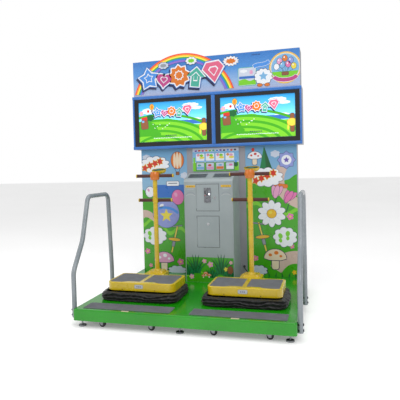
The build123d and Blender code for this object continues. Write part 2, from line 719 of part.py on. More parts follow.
def tower_shell():
    """Sides, back strips round the service door, inner posts and the middle column's front."""
    pieces = both_sides(lambda side: side_board(side, TOWER_HALF_W, PANEL_BACK, DECK_Z, TOWER_TOP_Z))
    low_strip = block(-TOWER_HALF_W, TOWER_HALF_W, BACK_IN, BACK_Y, DECK_Z, DOOR_Z0 - DOOR_GAP)
    low_strip -= block(INLET_X - INLET_HALF_W, INLET_X + INLET_HALF_W, BACK_IN - 1, BACK_Y + 1,
                       INLET_Z - INLET_HALF_H, SWITCH_Z + INLET_HALF_H)
    pieces.append(low_strip)
    pieces.append(block(-TOWER_HALF_W, TOWER_HALF_W, BACK_IN, BACK_Y, DOOR_Z1 + DOOR_GAP, TOWER_TOP_Z))
    z0 = DOOR_Z0 - DOOR_GAP
    z1 = DOOR_Z1 + DOOR_GAP
    pieces.append(block(-TOWER_HALF_W, -DOOR_HALF_W - DOOR_GAP, BACK_IN, BACK_Y, z0, z1))
    hinge_side = block(DOOR_HALF_W + DOOR_GAP, TOWER_HALF_W, BACK_IN, BACK_Y, z0, z1)
    fixed, _ = hinge_pair(*SERVICE_HINGE)
    _, frame_notch = hinge_notches(*SERVICE_HINGE)
    for knuckle in fixed:
        hinge_side += knuckle
    pieces.append(hinge_side - frame_notch - rod(PIN_R + RUN_FIT, (*SERVICE_HINGE[:2], SERVICE_HINGE[2] - 1),
                                                 (*SERVICE_HINGE[:2], SERVICE_HINGE[3] + 1)))
    column = block(-COLUMN_HALF_W, COLUMN_HALF_W, TOWER_FRONT_Y - 1, PANEL_BACK, DECK_Z, TOWER_TOP_Z)
    pieces.append(column - rod(CABLE_R + SMALL_GAP, (CABLE_START[0], PANEL_BACK + 1, CABLE_START[2]),
                               (CABLE_START[0], TOWER_FRONT_Y - 2, CABLE_START[2])))
    pieces += both_sides(lambda side: tube_along(
        "Z", side * COLUMN_HALF_W - TUBE / 2, side * COLUMN_HALF_W + TUBE / 2, PANEL_BACK, PANEL_BACK + TUBE,
        DECK_Z, TOWER_TOP_Z))
    return pieces


def service_door():
    """The rear door, with its hinge knuckle on the right and a recessed pull on the left."""
    face = SERVICE_FACE
    door = block(-DOOR_HALF_W, DOOR_HALF_W, face - DOOR_T, face, DOOR_Z0, DOOR_Z1)
    _, moving = hinge_pair(*SERVICE_HINGE)
    notches, _ = hinge_notches(*SERVICE_HINGE)
    for notch in notches:
        door -= notch
    pull_x = -DOOR_HALF_W + 60
    pull_z = (DOOR_Z0 + DOOR_Z1) / 2
    door -= block(pull_x - 20, pull_x + 20, face - 8, face + 1, pull_z - 60, pull_z + 60)
    door += block(pull_x - 5, pull_x + 5, face - 8, face, pull_z - 61, pull_z + 61)
    return door + moving


def decor_panel(side):
    """A printed board beside the middle column."""
    inner = side * COLUMN_HALF_W + side * 0.5
    outer = side * TOWER_HALF_W
    return block(min(inner, outer), max(inner, outer), TOWER_FRONT_Y, PANEL_BACK, DECK_Z, TOWER_TOP_Z)


def instruction_board():
    """The board with the picture steps, at the top of the middle column."""
    back = TOWER_FRONT_Y - 1
    board = block(-STEPS_HALF_W, STEPS_HALF_W, back - STEPS_T, back, *STEPS_Z)
    return fillet(board.edges().filter_by(Axis.Y), STEPS_R)


def carcass(half_w, y0, z0, z1):
    """Two sides, a bottom, a top and a back, all of board."""
    pieces = both_sides(lambda side: side_board(side, half_w, y0, z0 + BOARD, z1 - BOARD))
    pieces.append(block(-half_w, half_w, y0, BACK_IN, z0, z0 + BOARD))
    pieces.append(block(-half_w, half_w, y0, BACK_IN, z1 - BOARD, z1))
    pieces.append(block(-half_w, half_w, BACK_IN, BACK_Y, z0, z1))
    return pieces


def upper_cabinet():
    """The screen box and the marquee box on top of it."""
    screen_box = carcass(UPPER_HALF_W, FRAME_FRONT_Y + FRAME_DEPTH, TOWER_TOP_Z, UPPER_TOP_Z)
    return screen_box + carcass(MARQUEE_HALF_W, MARQUEE_Y + PANEL_T, UPPER_TOP_Z, MARQUEE_TOP_Z)


def frame_bar(x0, x1, z0, z1):
    """One bar of the screen surround, with rounded front edges."""
    bar = block(x0, x1, FRAME_FRONT_Y, FRAME_FRONT_Y + FRAME_DEPTH, z0, z1)
    long_axis = Axis.X if x1 - x0 > z1 - z0 else Axis.Z
    front = bar.edges().filter_by(long_axis).group_by(Axis.Y)[0]
    return fillet(front, min(FRAME_EDGE_R, 0.4 * min(x1 - x0, z1 - z0)))


INNER_Z0 = TOWER_TOP_Z + FRAME_BAR
INNER_Z1 = UPPER_TOP_Z - FRAME_BAR


def monitor_frame():
    """The blue surround: top and bottom rails, two sides and the divider."""
    w = UPPER_HALF_W
    return [
        frame_bar(-w, w, UPPER_TOP_Z - FRAME_BAR, UPPER_TOP_Z),
        frame_bar(-w, w, TOWER_TOP_Z, TOWER_TOP_Z + FRAME_BAR),
        frame_bar(-w, -w + FRAME_SIDE, INNER_Z0, INNER_Z1),
        frame_bar(w - FRAME_SIDE, w, INNER_Z0, INNER_Z1),
        frame_bar(-DIVIDER_HALF, DIVIDER_HALF, INNER_Z0, INNER_Z1),
    ]


def screen_bezel(side):
    """The black ring between the surround and a screen."""
    inner = side * (DIVIDER_HALF + SMALL_GAP)
    outer = side * (UPPER_HALF_W - FRAME_SIDE - SMALL_GAP)
    ring = block(min(inner, outer), max(inner, outer), BEZEL_Y, FRAME_FRONT_Y + FRAME_DEPTH,
                 INNER_Z0 + SMALL_GAP, INNER_Z1 - SMALL_GAP)
    x = side * SCREEN_X
    half_w = SCREEN_W / 2 + SMALL_GAP
    half_h = SCREEN_H / 2 + SMALL_GAP
    return ring - block(x - half_w, x + half_w, BEZEL_Y - 1, GLASS_Y + 20, SCREEN_Z - half_h, SCREEN_Z + half_h)


def display(side):
    """A flat display: its glass shows in the bezel and its case lies behind."""
    x = side * SCREEN_X
    back = FRAME_FRONT_Y + FRAME_DEPTH
    half_w = SCREEN_W / 2
    half_h = SCREEN_H / 2
    rim = DISPLAY_RIM
    glass = block(x - half_w, x + half_w, GLASS_Y, back, SCREEN_Z - half_h, SCREEN_Z + half_h)
    case = block(x - half_w - rim, x + half_w + rim, back, back + DISPLAY_T,
                 SCREEN_Z - half_h - rim, SCREEN_Z + half_h + rim)
    return glass + case


def marquee_panel():
    """The printed header board."""
    w = MARQUEE_HALF_W
    return block(-w, w, MARQUEE_Y, MARQUEE_Y + PANEL_T, UPPER_TOP_Z, MARQUEE_TOP_Z)


def rainbow_arch():
    """The arched relief board on the header; its crown stands above the header's top edge."""
    band = Circle(ARCH_R) - Circle(ARCH_R - ARCH_BAND)
    disc = extrude(Plane.XZ.offset(-MARQUEE_Y) * Pos(ARCH_X, ARCH_Z) * band, ARCH_T)
    return disc - block(ARCH_X - 2 * ARCH_R, ARCH_X + 2 * ARCH_R, MARQUEE_Y - 20, MARQUEE_Y + 20,
                        ARCH_Z - 2 * ARCH_R, ARCH_FOOT_Z)


# ---------------------------------------------------------------- coin cabinet

COIN_BACK_Y = TOWER_FRONT_Y - 1
LID_FRONT = COIN_Y - 2
SLOPE = math.degrees(math.atan2(COIN_TOP_Z - COIN_EDGE_Z, COIN_SLOPE_Y - COIN_EDGE_Y))


def coin_profile(reach):
    """The coin cabinet's side outline; reach carries its open back and bottom further out."""
    back = COIN_BACK_Y + reach
    low = DECK_Z - reach
    return make_face(Polyline(
        (COIN_Y, low),
        (COIN_Y, COIN_FACE_Z),
        (COIN_EDGE_Y, COIN_EDGE_Z),
        (COIN_SLOPE_Y, COIN_TOP_Z),
        (back, COIN_TOP_Z),
        (back, low),
        close=True))


def slope_plane(x):
    """The plane of the sloped top at one speaker, with its normal outward."""
    middle_y = (COIN_EDGE_Y + COIN_SLOPE_Y) / 2
    middle_z = (COIN_EDGE_Z + COIN_TOP_Z) / 2
    tilt = math.radians(SLOPE)
    return Plane(origin=(x, middle_y, middle_z), x_dir=(1, 0, 0), z_dir=(0, -math.sin(tilt), math.cos(tilt)))


def lid_hinge(half_w, z_span):
    """The hinge axis of a coin-cabinet door: upright, in the gap beside its left edge."""
    return (LID_X - half_w - DOOR_GAP / 2, LID_FRONT, z_span[0] + 20, z_span[1] - 20)


COIN_HINGE = lid_hinge(COIN_LID_HALF_W, COIN_LID_Z)
CASH_HINGE = lid_hinge(CASH_LID_HALF_W, CASH_LID_Z)


def coin_cabinet():
    """The folded steel case, open behind, with two door openings and two speaker openings."""
    case = extrude(Plane.YZ.offset(-COIN_HALF_W) * coin_profile(0), 2 * COIN_HALF_W)
    case = fillet(case.edges().filter_by(Axis.Z).group_by(Axis.Y)[0], 6)
    hollow = offset(coin_profile(4 * SHEET), -SHEET, kind=Kind.INTERSECTION)
    case -= extrude(Plane.YZ.offset(-COIN_HALF_W + SHEET) * hollow, 2 * (COIN_HALF_W - SHEET))
    lids = ((COIN_LID_HALF_W, COIN_LID_Z, COIN_HINGE), (CASH_LID_HALF_W, CASH_LID_Z, CASH_HINGE))
    for half_w, span, hinge in lids:
        fixed, _ = hinge_pair(*hinge)
        _, notch = hinge_notches(*hinge)
        gap = DOOR_GAP
        case -= block(LID_X - half_w - gap, LID_X + half_w + gap, COIN_Y - 1, COIN_Y + 9,
                      span[0] - gap, span[1] + gap)
        for knuckle in fixed:
            case += knuckle
        case -= notch
        case -= rod(PIN_R + RUN_FIT, (*hinge[:2], hinge[2] - 1), (*hinge[:2], hinge[3] + 1))
    for side in (-1, 1):
        case -= slope_plane(side * SPEAKER_X) * Box(2 * GRILLE_HALF_W - 24, 2 * GRILLE_HALF_D - 24, 20)
    return case


def lid(half_w, span, hinge, lock_x, lock_z):
    """A flush steel door with its hinge knuckle and a hole for its lock."""
    door = block(LID_X - half_w, LID_X + half_w, LID_FRONT, LID_FRONT + LID_T, *span)
    _, moving = hinge_pair(*hinge)
    notches, _ = hinge_notches(*hinge)
    for notch in notches:
        door -= notch
    door += moving
    return door - rod(LOCK_R + RUN_FIT, (lock_x, LID_FRONT - 1, lock_z), (lock_x, LID_FRONT + LID_T + 1, lock_z))


COIN_LOCK = (60.0, 921.0)
CASH_LOCK = (-5.0, 679.0)
MECH_X = LID_X


def coin_door():
    """The upper door, cut out for the coin mechanism."""
    door = lid(COIN_LID_HALF_W, COIN_LID_Z, COIN_HINGE, *COIN_LOCK)
    fit = MECH_BODY_HALF_W + SMALL_GAP
    return door - block(MECH_X - fit, MECH_X + fit, LID_FRONT - 1, LID_FRONT + LID_T + 1, MECH_Z[0] + 4 - SMALL_GAP,
                        MECH_Z[1] - 4 + SMALL_GAP)


def cam_lock(x, z, reach, direction):
    """A key barrel with a face ring and a cam behind the door."""
    body = rod(LOCK_R + 3, (x, LID_FRONT - 3, z), (x, LID_FRONT - 0.3, z))
    body += rod(LOCK_R, (x, LID_FRONT - 0.3, z), (x, LID_FRONT + LID_T + 5, z))
    body -= block(x - 1, x + 1, LID_FRONT - 4, LID_FRONT + 1, z - 5, z + 5)
    cam_y = LID_FRONT + LID_T + 2
    if direction == "down":
        cam = block(x - CAM_W / 2, x + CAM_W / 2, cam_y, cam_y + CAM_T, z - reach, z)
    else:
        cam = block(x - reach, x, cam_y, cam_y + CAM_T, z - CAM_W / 2, z + CAM_W / 2)
    return body + cam


CUP_Z1 = CUP_Z0 + CUP_H
FLAP_AXIS_Z = CUP_Z1 - 3


def coin_mech():
    """The coin mechanism: face plate, coin slot, reject-button well and the return cup."""
    face = LID_FRONT - MECH_PLATE_T
    back = LID_FRONT + LID_T + MECH_BODY_D
    mech = block(MECH_X - MECH_HALF_W, MECH_X + MECH_HALF_W, face, LID_FRONT, *MECH_Z)
    mech = fillet(mech.edges().filter_by(Axis.Y), 4)
    mech += block(MECH_X - MECH_BODY_HALF_W, MECH_X + MECH_BODY_HALF_W, LID_FRONT, back,
                  MECH_Z[0] + 4, MECH_Z[1] - 4)
    mech += rod(12, (MECH_X, face - 4, MECH_Z[1] - 30), (MECH_X, face, MECH_Z[1] - 30))
    mech -= block(MECH_X - 1.7, MECH_X + 1.7, face - 5, back - 20, MECH_Z[1] - 44, MECH_Z[1] - 16)
    mech -= rod(REJECT_R + RUN_FIT, (MECH_X, face - 1, REJECT_Z), (MECH_X, face + 24, REJECT_Z))
    mech -= block(MECH_X - CUP_HALF_W, MECH_X + CUP_HALF_W, face - 1, face + CUP_DEPTH, CUP_Z0, CUP_Z1)
    pin = rod(PIN_R + RUN_FIT, (MECH_X - CUP_HALF_W - 3, face + 5, FLAP_AXIS_Z),
              (MECH_X + CUP_HALF_W + 3, face + 5, FLAP_AXIS_Z))
    return mech - pin


def coin_return_flap():
    """The flap in the return cup, hung on its own pin."""
    face = LID_FRONT - MECH_PLATE_T
    half = CUP_HALF_W - SMALL_GAP
    flap = block(MECH_X - half, MECH_X + half, face + 4, face + 6, CUP_Z0 + 1, FLAP_AXIS_Z)
    flap += rod(2, (MECH_X - half, face + 5, FLAP_AXIS_Z), (MECH_X + half, face + 5, FLAP_AXIS_Z))
    return flap + rod(PIN_R, (MECH_X - CUP_HALF_W - 2.5, face + 5, FLAP_AXIS_Z),
                      (MECH_X + CUP_HALF_W + 2.5, face + 5, FLAP_AXIS_Z))


def coin_return_button():
    """The reject button, with room behind it for its stroke."""
    face = LID_FRONT - MECH_PLATE_T
    button = rod(REJECT_R, (MECH_X, face - 5, REJECT_Z), (MECH_X, face + 18, REJECT_Z))
    return fillet(button.edges().sort_by(Axis.Y)[0], 1.5)


def cash_box():
    """The open-topped cash box on its shelf, behind the lower door."""
    box = block(LID_X - 85, LID_X + 85, COIN_Y + 30, COIN_Y + 250, 480, 640)
    box -= block(LID_X - 83, LID_X + 83, COIN_Y + 32, COIN_Y + 248, 482, 641)
    shelf = block(-COIN_HALF_W + SHEET, COIN_HALF_W - SHEET, COIN_Y + 20, COIN_BACK_Y, 474, 480)
    return [box, shelf]


def speaker(side):
    """A round driver under the slope: flange, cone basket and magnet."""
    profile = make_face(Polyline((0, -SHEET), (54, -SHEET), (54, -SHEET - 4), (44, -SHEET - 5), (26, -34), (34, -35),
                                 (34, -54), (0, -54), close=True))
    dish = revolve(Plane.XZ * profile, Axis.Z)
    cone = revolve(Plane.XZ * make_face(Polyline((0, -SHEET + 1), (42, -SHEET + 1), (14, -26), (0, -26), close=True)),
                   Axis.Z)
    return slope_plane(side * SPEAKER_X) * (dish - cone)


def grille(side):
    """A perforated plate over the speaker opening."""
    sheet = Rectangle(2 * GRILLE_HALF_W, 2 * GRILLE_HALF_D) - GridLocations(15, 15, 10, 6) * Circle(4.5)
    return slope_plane(side * SPEAKER_X) * extrude(Pos(0, 0, 0.2) * sheet, 2)


# ---------------------------------------------------------------- electronics and cable

CABLE_R = 4.5
CABLE_START = (262.0, TOWER_FRONT_Y - 1, 232.0)
CABLE_END = (395.0, 196.0, DECK_Z)
GLAND_R = 11.0
GLAND_L = 16.0


def electronics():
    """The game computer, the power box and its rear inlet plate, behind the service door."""
    computer = block(-150, 200, PANEL_BACK + TUBE + 4, BACK_IN - 6, DECK_Z, DECK_Z + 380)
    computer = fillet(computer.edges().filter_by(Axis.Y), 5)
    computer -= block(-148, 198, PANEL_BACK + TUBE + 6, BACK_IN - 8, DECK_Z + 2, DECK_Z + 378)
    for row in range(8):
        z = DECK_Z + 60 + 35 * row
        computer -= block(-110, 40, BACK_IN - 10, BACK_IN, z, z + 12)
    power = block(INLET_X - 90, INLET_X + 90, PANEL_BACK + TUBE, BACK_IN, DECK_Z, DECK_Z + 180)
    power -= block(INLET_X - 88, INLET_X + 88, PANEL_BACK + TUBE + 2, BACK_IN - 2,
                   DECK_Z + 2, DECK_Z + 178)
    for row in range(5):
        z = DECK_Z + 30 + 28 * row
        power -= block(INLET_X - 91, INLET_X - 87, PANEL_BACK + TUBE + 20, BACK_IN - 20, z, z + 10)
    plug_in = block(INLET_X - INLET_HALF_W + 1, INLET_X + INLET_HALF_W - 1, BACK_IN, BACK_Y,
                    INLET_Z - INLET_HALF_H + 1, SWITCH_Z + INLET_HALF_H - 1)
    plug_in -= block(INLET_X - 12, INLET_X + 12, BACK_Y - 15, BACK_Y + 2, INLET_Z - 8, INLET_Z + 8)
    for dx in (-7, 0, 7):
        plug_in += block(INLET_X + dx - 1, INLET_X + dx + 1, BACK_Y - 15, BACK_Y - 3, INLET_Z - 2, INLET_Z + 2)
    plug_in -= block(INLET_X - 11, INLET_X + 11, BACK_Y - SWITCH_DEEP, BACK_Y + 2, SWITCH_Z - 15, SWITCH_Z + 15)
    plug_in -= rocker_pin(ROCKER_PIN_R + RUN_FIT, SMALL_GAP)
    return [computer, power + plug_in]


ROCKER_Y = BACK_Y - 8.0
ROCKER_PIN_R = 2.0
SWITCH_DEEP = 15.0


def rocker_pin(radius, gap):
    """The rocker's cross pivot; gap lengthens it at both ends."""
    reach = 13 + gap
    return rod(radius, (INLET_X - reach, ROCKER_Y, SWITCH_Z), (INLET_X + reach, ROCKER_Y, SWITCH_Z))


def power_switch():
    """The rocker, modelled in its off position on its cross pivot."""
    y = ROCKER_Y
    z = SWITCH_Z
    profile = make_face(Polyline((y - 4, z - 6), (y + 3, z - 12), (y + 5, z), (y + 7, z + 12), (y - 4, z + 6),
                                 close=True))
    return extrude(Plane.YZ.offset(INLET_X - 10) * profile, 20) + rocker_pin(ROCKER_PIN_R, 0)


def gland(origin, direction):
    """A round cable gland with a hexagon body."""
    plane = Plane(origin=origin, z_dir=direction)
    body = extrude(plane * RegularPolygon(GLAND_R, 6), GLAND_L * 0.5)
    body += extrude(plane.offset(GLAND_L * 0.5) * Circle(GLAND_R * 0.7), GLAND_L * 0.5)
    return body - extrude(plane * Circle(CABLE_R + 0.1), GLAND_L)


def button_cable():
    """The lead from the column to the deck, held by a gland at both ends."""
    x0, y0, z0 = CABLE_START
    x1, y1, z1 = CABLE_END
    route = [
        (x0, y0 + 6, z0),
        (x0, y0 - 45, z0),
        (x0 + 26, y0 - 100, z0 - 8),
        (x0 + 55, y0 - 160, z0 - 21),
        (x0 + 86, y0 - 225, z0 - 27),
        (x0 + 112, y0 - 290, z0 - 20),
        (x0 + 128, y0 - 345, z0 - 12),
        (x1, y1 + 22, z1 + 62),
        (x1, y1, z1 + 28),
        (x1, y1, z1 - 6),
    ]
    radii = []
    for before, here, after in zip(route[:-2], route[1:-1], route[2:]):
        first = Vector(*here) - Vector(*before)
        second = Vector(*after) - Vector(*here)
        turn = math.radians(first.get_angle(second))
        radii.append(0.45 * min(first.length, second.length) / math.tan(turn / 2))
    print("cable radii", [round(r) for r in radii])
    path = FilletPolyline(*route, radius=radii)
    start = Plane(origin=route[0], z_dir=(0, -1, 0))
    cable = sweep(start * Circle(CABLE_R), path=path)
    print("cable length", round(path.length), "volume ratio",
          round(cable.volume / (math.pi * CABLE_R ** 2 * path.length), 3))
    return cable


def cable_glands():
    """The two glands that hold the lead."""
    return [gland(CABLE_START, (0, -1, 0)), gland(CABLE_END, (0, 0, 1))]


# ---------------------------------------------------------------- write every node

def main():
    """Build each node and write it."""
    os.makedirs("parts", exist_ok=True)
    save("deck_shell", deck_shell())
    save("rear_base_shell", base_skin(SEAM_Y + SEAM_GAP, BACK_Y, 1))
    save("deck_frame", deck_frame())
    save("step_mats", both_sides(step_mat))
    save("levelling_feet", [levelling_foot(x, y) for x, y in FOOT_SPOTS])
    save("frame_bolts", handrail_bolts())
    for name, x in CASTER_SPOTS.items():
        save(f"caster_fork_{name}", swivel_fork(x))
        save(f"caster_wheel_{name}", wheel((x + TRAIL, ROW_Y, WHEEL_R + WHEEL_RISE), (0, 1, 0)))
    save("rear_wheels", both_sides(rear_wheel))
    for word, side in (("left", -1), ("right", 1)):
        save(f"handrail_{word}", handrail(side))
        save(f"tray_{word}", tray(side))
        save(f"foot_pads_{word}", foot_pads(side))
        save(f"guide_rods_{word}", guide_rods(side))
        save(f"springs_{word}", springs(side))
        save(f"bellows_{word}", bellows(side))
        save(f"post_{word}", post(side))
        save(f"grips_{word}", grips(side))
        save(f"hub_{word}", hub(side))
        save(f"start_bowl_{word}", start_bowl(side))
        save(f"start_button_{word}", start_button(side))
    save("guide_bases", both_sides(guide_base))
    save("tower_shell", tower_shell())
    save("service_door", service_door())
    save("printed_panels", both_sides(decor_panel), instruction_board())
    save("upper_cabinet", upper_cabinet())
    save("monitor_frame", monitor_frame())
    save("screen_bezels", both_sides(screen_bezel))
    save("displays", both_sides(display))
    save("marquee_panel", marquee_panel())
    save("rainbow_arch", rainbow_arch())
    save("coin_cabinet", coin_cabinet())
    save("coin_door", coin_door())
    save("coin_lock", cam_lock(*COIN_LOCK, 56, "down"))
    save("coin_mech", coin_mech())
    save("coin_return_flap", coin_return_flap())
    save("coin_return_button", coin_return_button())
    save("cash_door", lid(CASH_LID_HALF_W, CASH_LID_Z, CASH_HINGE, *CASH_LOCK))
    save("cash_lock", cam_lock(*CASH_LOCK, 84, "side"))
    save("cash_box", cash_box())
    save("speakers", both_sides(speaker), both_sides(grille))
    save("electronics", electronics())
    save("power_switch", power_switch())
    save("button_cable", button_cable(), cable_glands())


main()
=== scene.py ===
"""Looks for a two-player jumping rhythm cabinet: finishes, printed art and soft parts round its CAD frame."""
import logging
import math
from dataclasses import dataclass, field
from enum import Enum
from typing import Iterable

import bpy
import numpy as np
from mathutils import Matrix, Vector


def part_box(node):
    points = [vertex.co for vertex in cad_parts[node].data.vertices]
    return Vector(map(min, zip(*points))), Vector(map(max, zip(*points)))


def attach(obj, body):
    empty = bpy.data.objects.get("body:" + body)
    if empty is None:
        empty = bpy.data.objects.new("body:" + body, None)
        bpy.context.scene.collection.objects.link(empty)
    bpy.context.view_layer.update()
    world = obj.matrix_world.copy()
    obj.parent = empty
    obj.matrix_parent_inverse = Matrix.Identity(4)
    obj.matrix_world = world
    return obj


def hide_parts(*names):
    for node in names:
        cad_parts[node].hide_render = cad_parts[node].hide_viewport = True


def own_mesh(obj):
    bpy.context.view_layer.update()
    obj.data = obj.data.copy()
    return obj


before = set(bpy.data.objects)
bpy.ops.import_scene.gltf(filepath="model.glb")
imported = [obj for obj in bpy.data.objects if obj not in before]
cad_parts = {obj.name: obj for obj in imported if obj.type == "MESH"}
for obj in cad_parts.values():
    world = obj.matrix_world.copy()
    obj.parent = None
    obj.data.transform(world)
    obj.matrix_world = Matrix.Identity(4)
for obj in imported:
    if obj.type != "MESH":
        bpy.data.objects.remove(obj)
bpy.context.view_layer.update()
MM = 0.001
SIDES = {"left": -1, "right": 1}
UNIT_X = 421.0
LOG = logging.getLogger("cabinet")

Outline = np.ndarray
Part = tuple[np.ndarray, list]
Tree = bpy.types.NodeTree
Socket = bpy.types.NodeSocket
Piece = bpy.types.Object


def linear(colour: str) -> tuple[float, float, float, float]:
    """Turn an sRGB hex colour into linear RGBA.

    Args:
        colour: six hex digits, such as "#2f8f1c".

    Returns:
        Four linear values, with alpha 1.
    """
    parts = np.array([int(colour[i:i + 2], 16) for i in (1, 3, 5)]) / 255.0
    low = parts / 12.92
    high = ((parts + 0.055) / 1.055) ** 2.4
    red, green, blue = np.where(parts <= 0.04045, low, high)
    return float(red), float(green), float(blue), 1.0


def add_node(tree: Tree, kind: str, settings: dict | None = None, inputs: dict | None = None,
             links: dict | None = None, stops: Iterable[tuple[float, str]] = ()) -> bpy.types.Node:
    """Add one shader node with its settings, its socket values, its incoming links and its colour stops.

    Args:
        tree: the node tree to add to.
        kind: the node's type name.
        settings: attributes to set on the node.
        inputs: values by input name or number.
        links: source sockets by input name or number.
        stops: positions and hex colours of a colour ramp, in order.

    Returns:
        The new node.
    """
    node = tree.nodes.new(kind)
    for key, value in (settings or {}).items():
        setattr(node, key, value)
    for key, value in (inputs or {}).items():
        node.inputs[key].default_value = value
    for key, source in (links or {}).items():
        tree.links.new(source, node.inputs[key])
    for count, (position, colour) in enumerate(stops):
        band = node.color_ramp.elements
        element = band[count] if count < 2 else band.new(position)
        element.position = position
        element.color = linear(colour)
    return node


# ------------------------------------------------------------------ finishes

@dataclass(frozen=True)
class Finish:
    """A real surface: its colours, its gloss and the size of its texture in millimetres."""
    name: str
    colour: str
    tone: str
    patch_mm: float = 90.0
    grain_mm: float = 2.0
    grain_depth: float = 0.02
    roughness: float = 0.4
    spread: float = 0.08
    metallic: float = 0.0
    ior: float = 1.5
    coat: float = 0.0
    sheen: float = 0.0
    glow: float = 0.0

    def colours(self, tree: Tree, place: Socket) -> Socket:
        """Mottle two tones by soft noise patches.

        Args:
            tree: the material's tree.
            place: object coordinates.

        Returns:
            The colour socket.
        """
        noise = add_node(tree, "ShaderNodeTexNoise", inputs={"Scale": 1000.0 / self.patch_mm, "Detail": 3.0},
                         links={"Vector": place})
        return add_node(tree, "ShaderNodeValToRGB", links={"Fac": noise.outputs["Fac"]},
                        stops=((0.35, self.colour), (0.68, self.tone))).outputs["Color"]

    def height(self, tree: Tree, place: Socket) -> Socket:
        """Give the fine relief: a fine noise at the grain's size.

        Args:
            tree: the material's tree.
            place: object coordinates.

        Returns:
            The height socket.
        """
        noise = add_node(tree, "ShaderNodeTexNoise", inputs={"Scale": 1000.0 / self.grain_mm, "Detail": 2.0},
                         links={"Vector": place})
        return noise.outputs["Fac"]

    def material(self) -> bpy.types.Material:
        """Build the material once and return it.

        Returns:
            The node-based material of this finish.
        """
        known = bpy.data.materials.get(self.name)
        if known:
            return known
        made = bpy.data.materials.new(self.name)
        made.use_nodes = True
        tree = made.node_tree
        tree.nodes.clear()
        place = add_node(tree, "ShaderNodeTexCoord").outputs["Object"]
        shader = add_node(tree, "ShaderNodeBsdfPrincipled", inputs={
            "Metallic": self.metallic, "Coat Weight": self.coat, "Coat Roughness": 0.06,
            "Sheen Weight": self.sheen, "Emission Strength": self.glow})
        if self.metallic < 0.5:
            shader.inputs["IOR"].default_value = self.ior
        colour = self.colours(tree, place)
        tree.links.new(colour, shader.inputs["Base Color"])
        if self.glow > 0.0:
            tree.links.new(colour, shader.inputs["Emission Color"])
        smudge = add_node(tree, "ShaderNodeTexNoise", inputs={"Scale": 1000.0 / (self.patch_mm * 0.6), "Detail": 5.0},
                          links={"Vector": place})
        gloss = add_node(tree, "ShaderNodeMapRange", inputs={
            "From Min": 0.3, "From Max": 0.7, "To Min": max(self.roughness - self.spread, 0.02),
            "To Max": min(self.roughness + self.spread, 1.0)}, links={"Value": smudge.outputs["Fac"]})
        tree.links.new(gloss.outputs["Result"], shader.inputs["Roughness"])
        bump = add_node(tree, "ShaderNodeBump", inputs={"Strength": 0.35, "Distance": self.grain_depth * MM * 10},
                        links={"Height": self.height(tree, place)})
        tree.links.new(bump.outputs["Normal"], shader.inputs["Normal"])
        output = add_node(tree, "ShaderNodeOutputMaterial", links={"Surface": shader.outputs["BSDF"]})
        output.is_active_output = True
        return made


@dataclass(frozen=True)
class ScuffedFinish(Finish):
    """A finish worn by shoes: pale, stretched scratches over its two tones."""
    scuff: str = "#9fc48a"
    scuff_mm: float = 14.0
    amount: float = 0.22

    def colours(self, tree: Tree, place: Socket) -> Socket:
        """Lay a thresholded, stretched noise of the scuff colour over the mottled base.

        Args:
            tree: the material's tree.
            place: object coordinates.

        Returns:
            The colour socket.
        """
        base = Finish.colours(self, tree, place)
        stretched = add_node(tree, "ShaderNodeMapping", inputs={"Scale": (1.0, 4.0, 1.0)}, links={"Vector": place})
        noise = add_node(tree, "ShaderNodeTexNoise", inputs={"Scale": 1000.0 / self.scuff_mm, "Detail": 6.0},
                         links={"Vector": stretched.outputs["Vector"]})
        mask = add_node(tree, "ShaderNodeMapRange", inputs={"From Min": 0.6, "From Max": 0.78, "To Max": self.amount},
                        links={"Value": noise.outputs["Fac"]})
        mix = add_node(tree, "ShaderNodeMix", settings={"data_type": "RGBA"},
                       inputs={7: linear(self.scuff)}, links={0: mask.outputs["Result"], 6: base})
        return mix.outputs[2]


@dataclass(frozen=True)
class StuddedFinish(Finish):
    """Anti-slip rubber: raised round studs on a square pitch, drawn coarse enough to show."""
    pitch_mm: float = 9.0

    def height(self, tree: Tree, place: Socket) -> Socket:
        """Raise a dome at each cell of a regular Voronoi pattern.

        Args:
            tree: the material's tree.
            place: object coordinates.

        Returns:
            The height socket.
        """
        cells = add_node(tree, "ShaderNodeTexVoronoi", inputs={"Scale": 1000.0 / self.pitch_mm, "Randomness": 0.0},
                         links={"Vector": place})
        dome = add_node(tree, "ShaderNodeMapRange", inputs={"From Min": 0.15, "From Max": 0.45, "To Min": 1.0,
                                                            "To Max": 0.0}, links={"Value": cells.outputs["Distance"]})
        return dome.outputs["Result"]


@dataclass(frozen=True)
class WovenFinish(Finish):
    """Coated cloth: two crossed waves as the weave, drawn coarser than the thread."""
    thread_mm: float = 3.0

    def height(self, tree: Tree, place: Socket) -> Socket:
        """Multiply waves along two diagonals of the cloth.

        Args:
            tree: the material's tree.
            place: object coordinates.

        Returns:
            The height socket.
        """
        waves = [add_node(tree, "ShaderNodeTexWave", settings={"bands_direction": way},
                          inputs={"Scale": 1000.0 / self.thread_mm / 6.28, "Distortion": 0.6}, links={"Vector": place})
                 for way in ("X", "Z")]
        mix = add_node(tree, "ShaderNodeMath", settings={"operation": "MAXIMUM"},
                       links={0: waves[0].outputs["Fac"], 1: waves[1].outputs["Fac"]})
        return mix.outputs["Value"]


@dataclass(frozen=True)
class BrushedFinish(Finish):
    """Brushed metal: noise stretched along the brushing as fine lines."""

    def height(self, tree: Tree, place: Socket) -> Socket:
        """Stretch fine noise thirty times along X.

        Args:
            tree: the material's tree.
            place: object coordinates.

        Returns:
            The height socket.
        """
        lines = add_node(tree, "ShaderNodeMapping", inputs={"Scale": (0.03, 1.0, 1.0)}, links={"Vector": place})
        noise = add_node(tree, "ShaderNodeTexNoise", inputs={"Scale": 1000.0 / self.grain_mm, "Detail": 3.0},
                         links={"Vector": lines.outputs["Vector"]})
        return noise.outputs["Fac"]


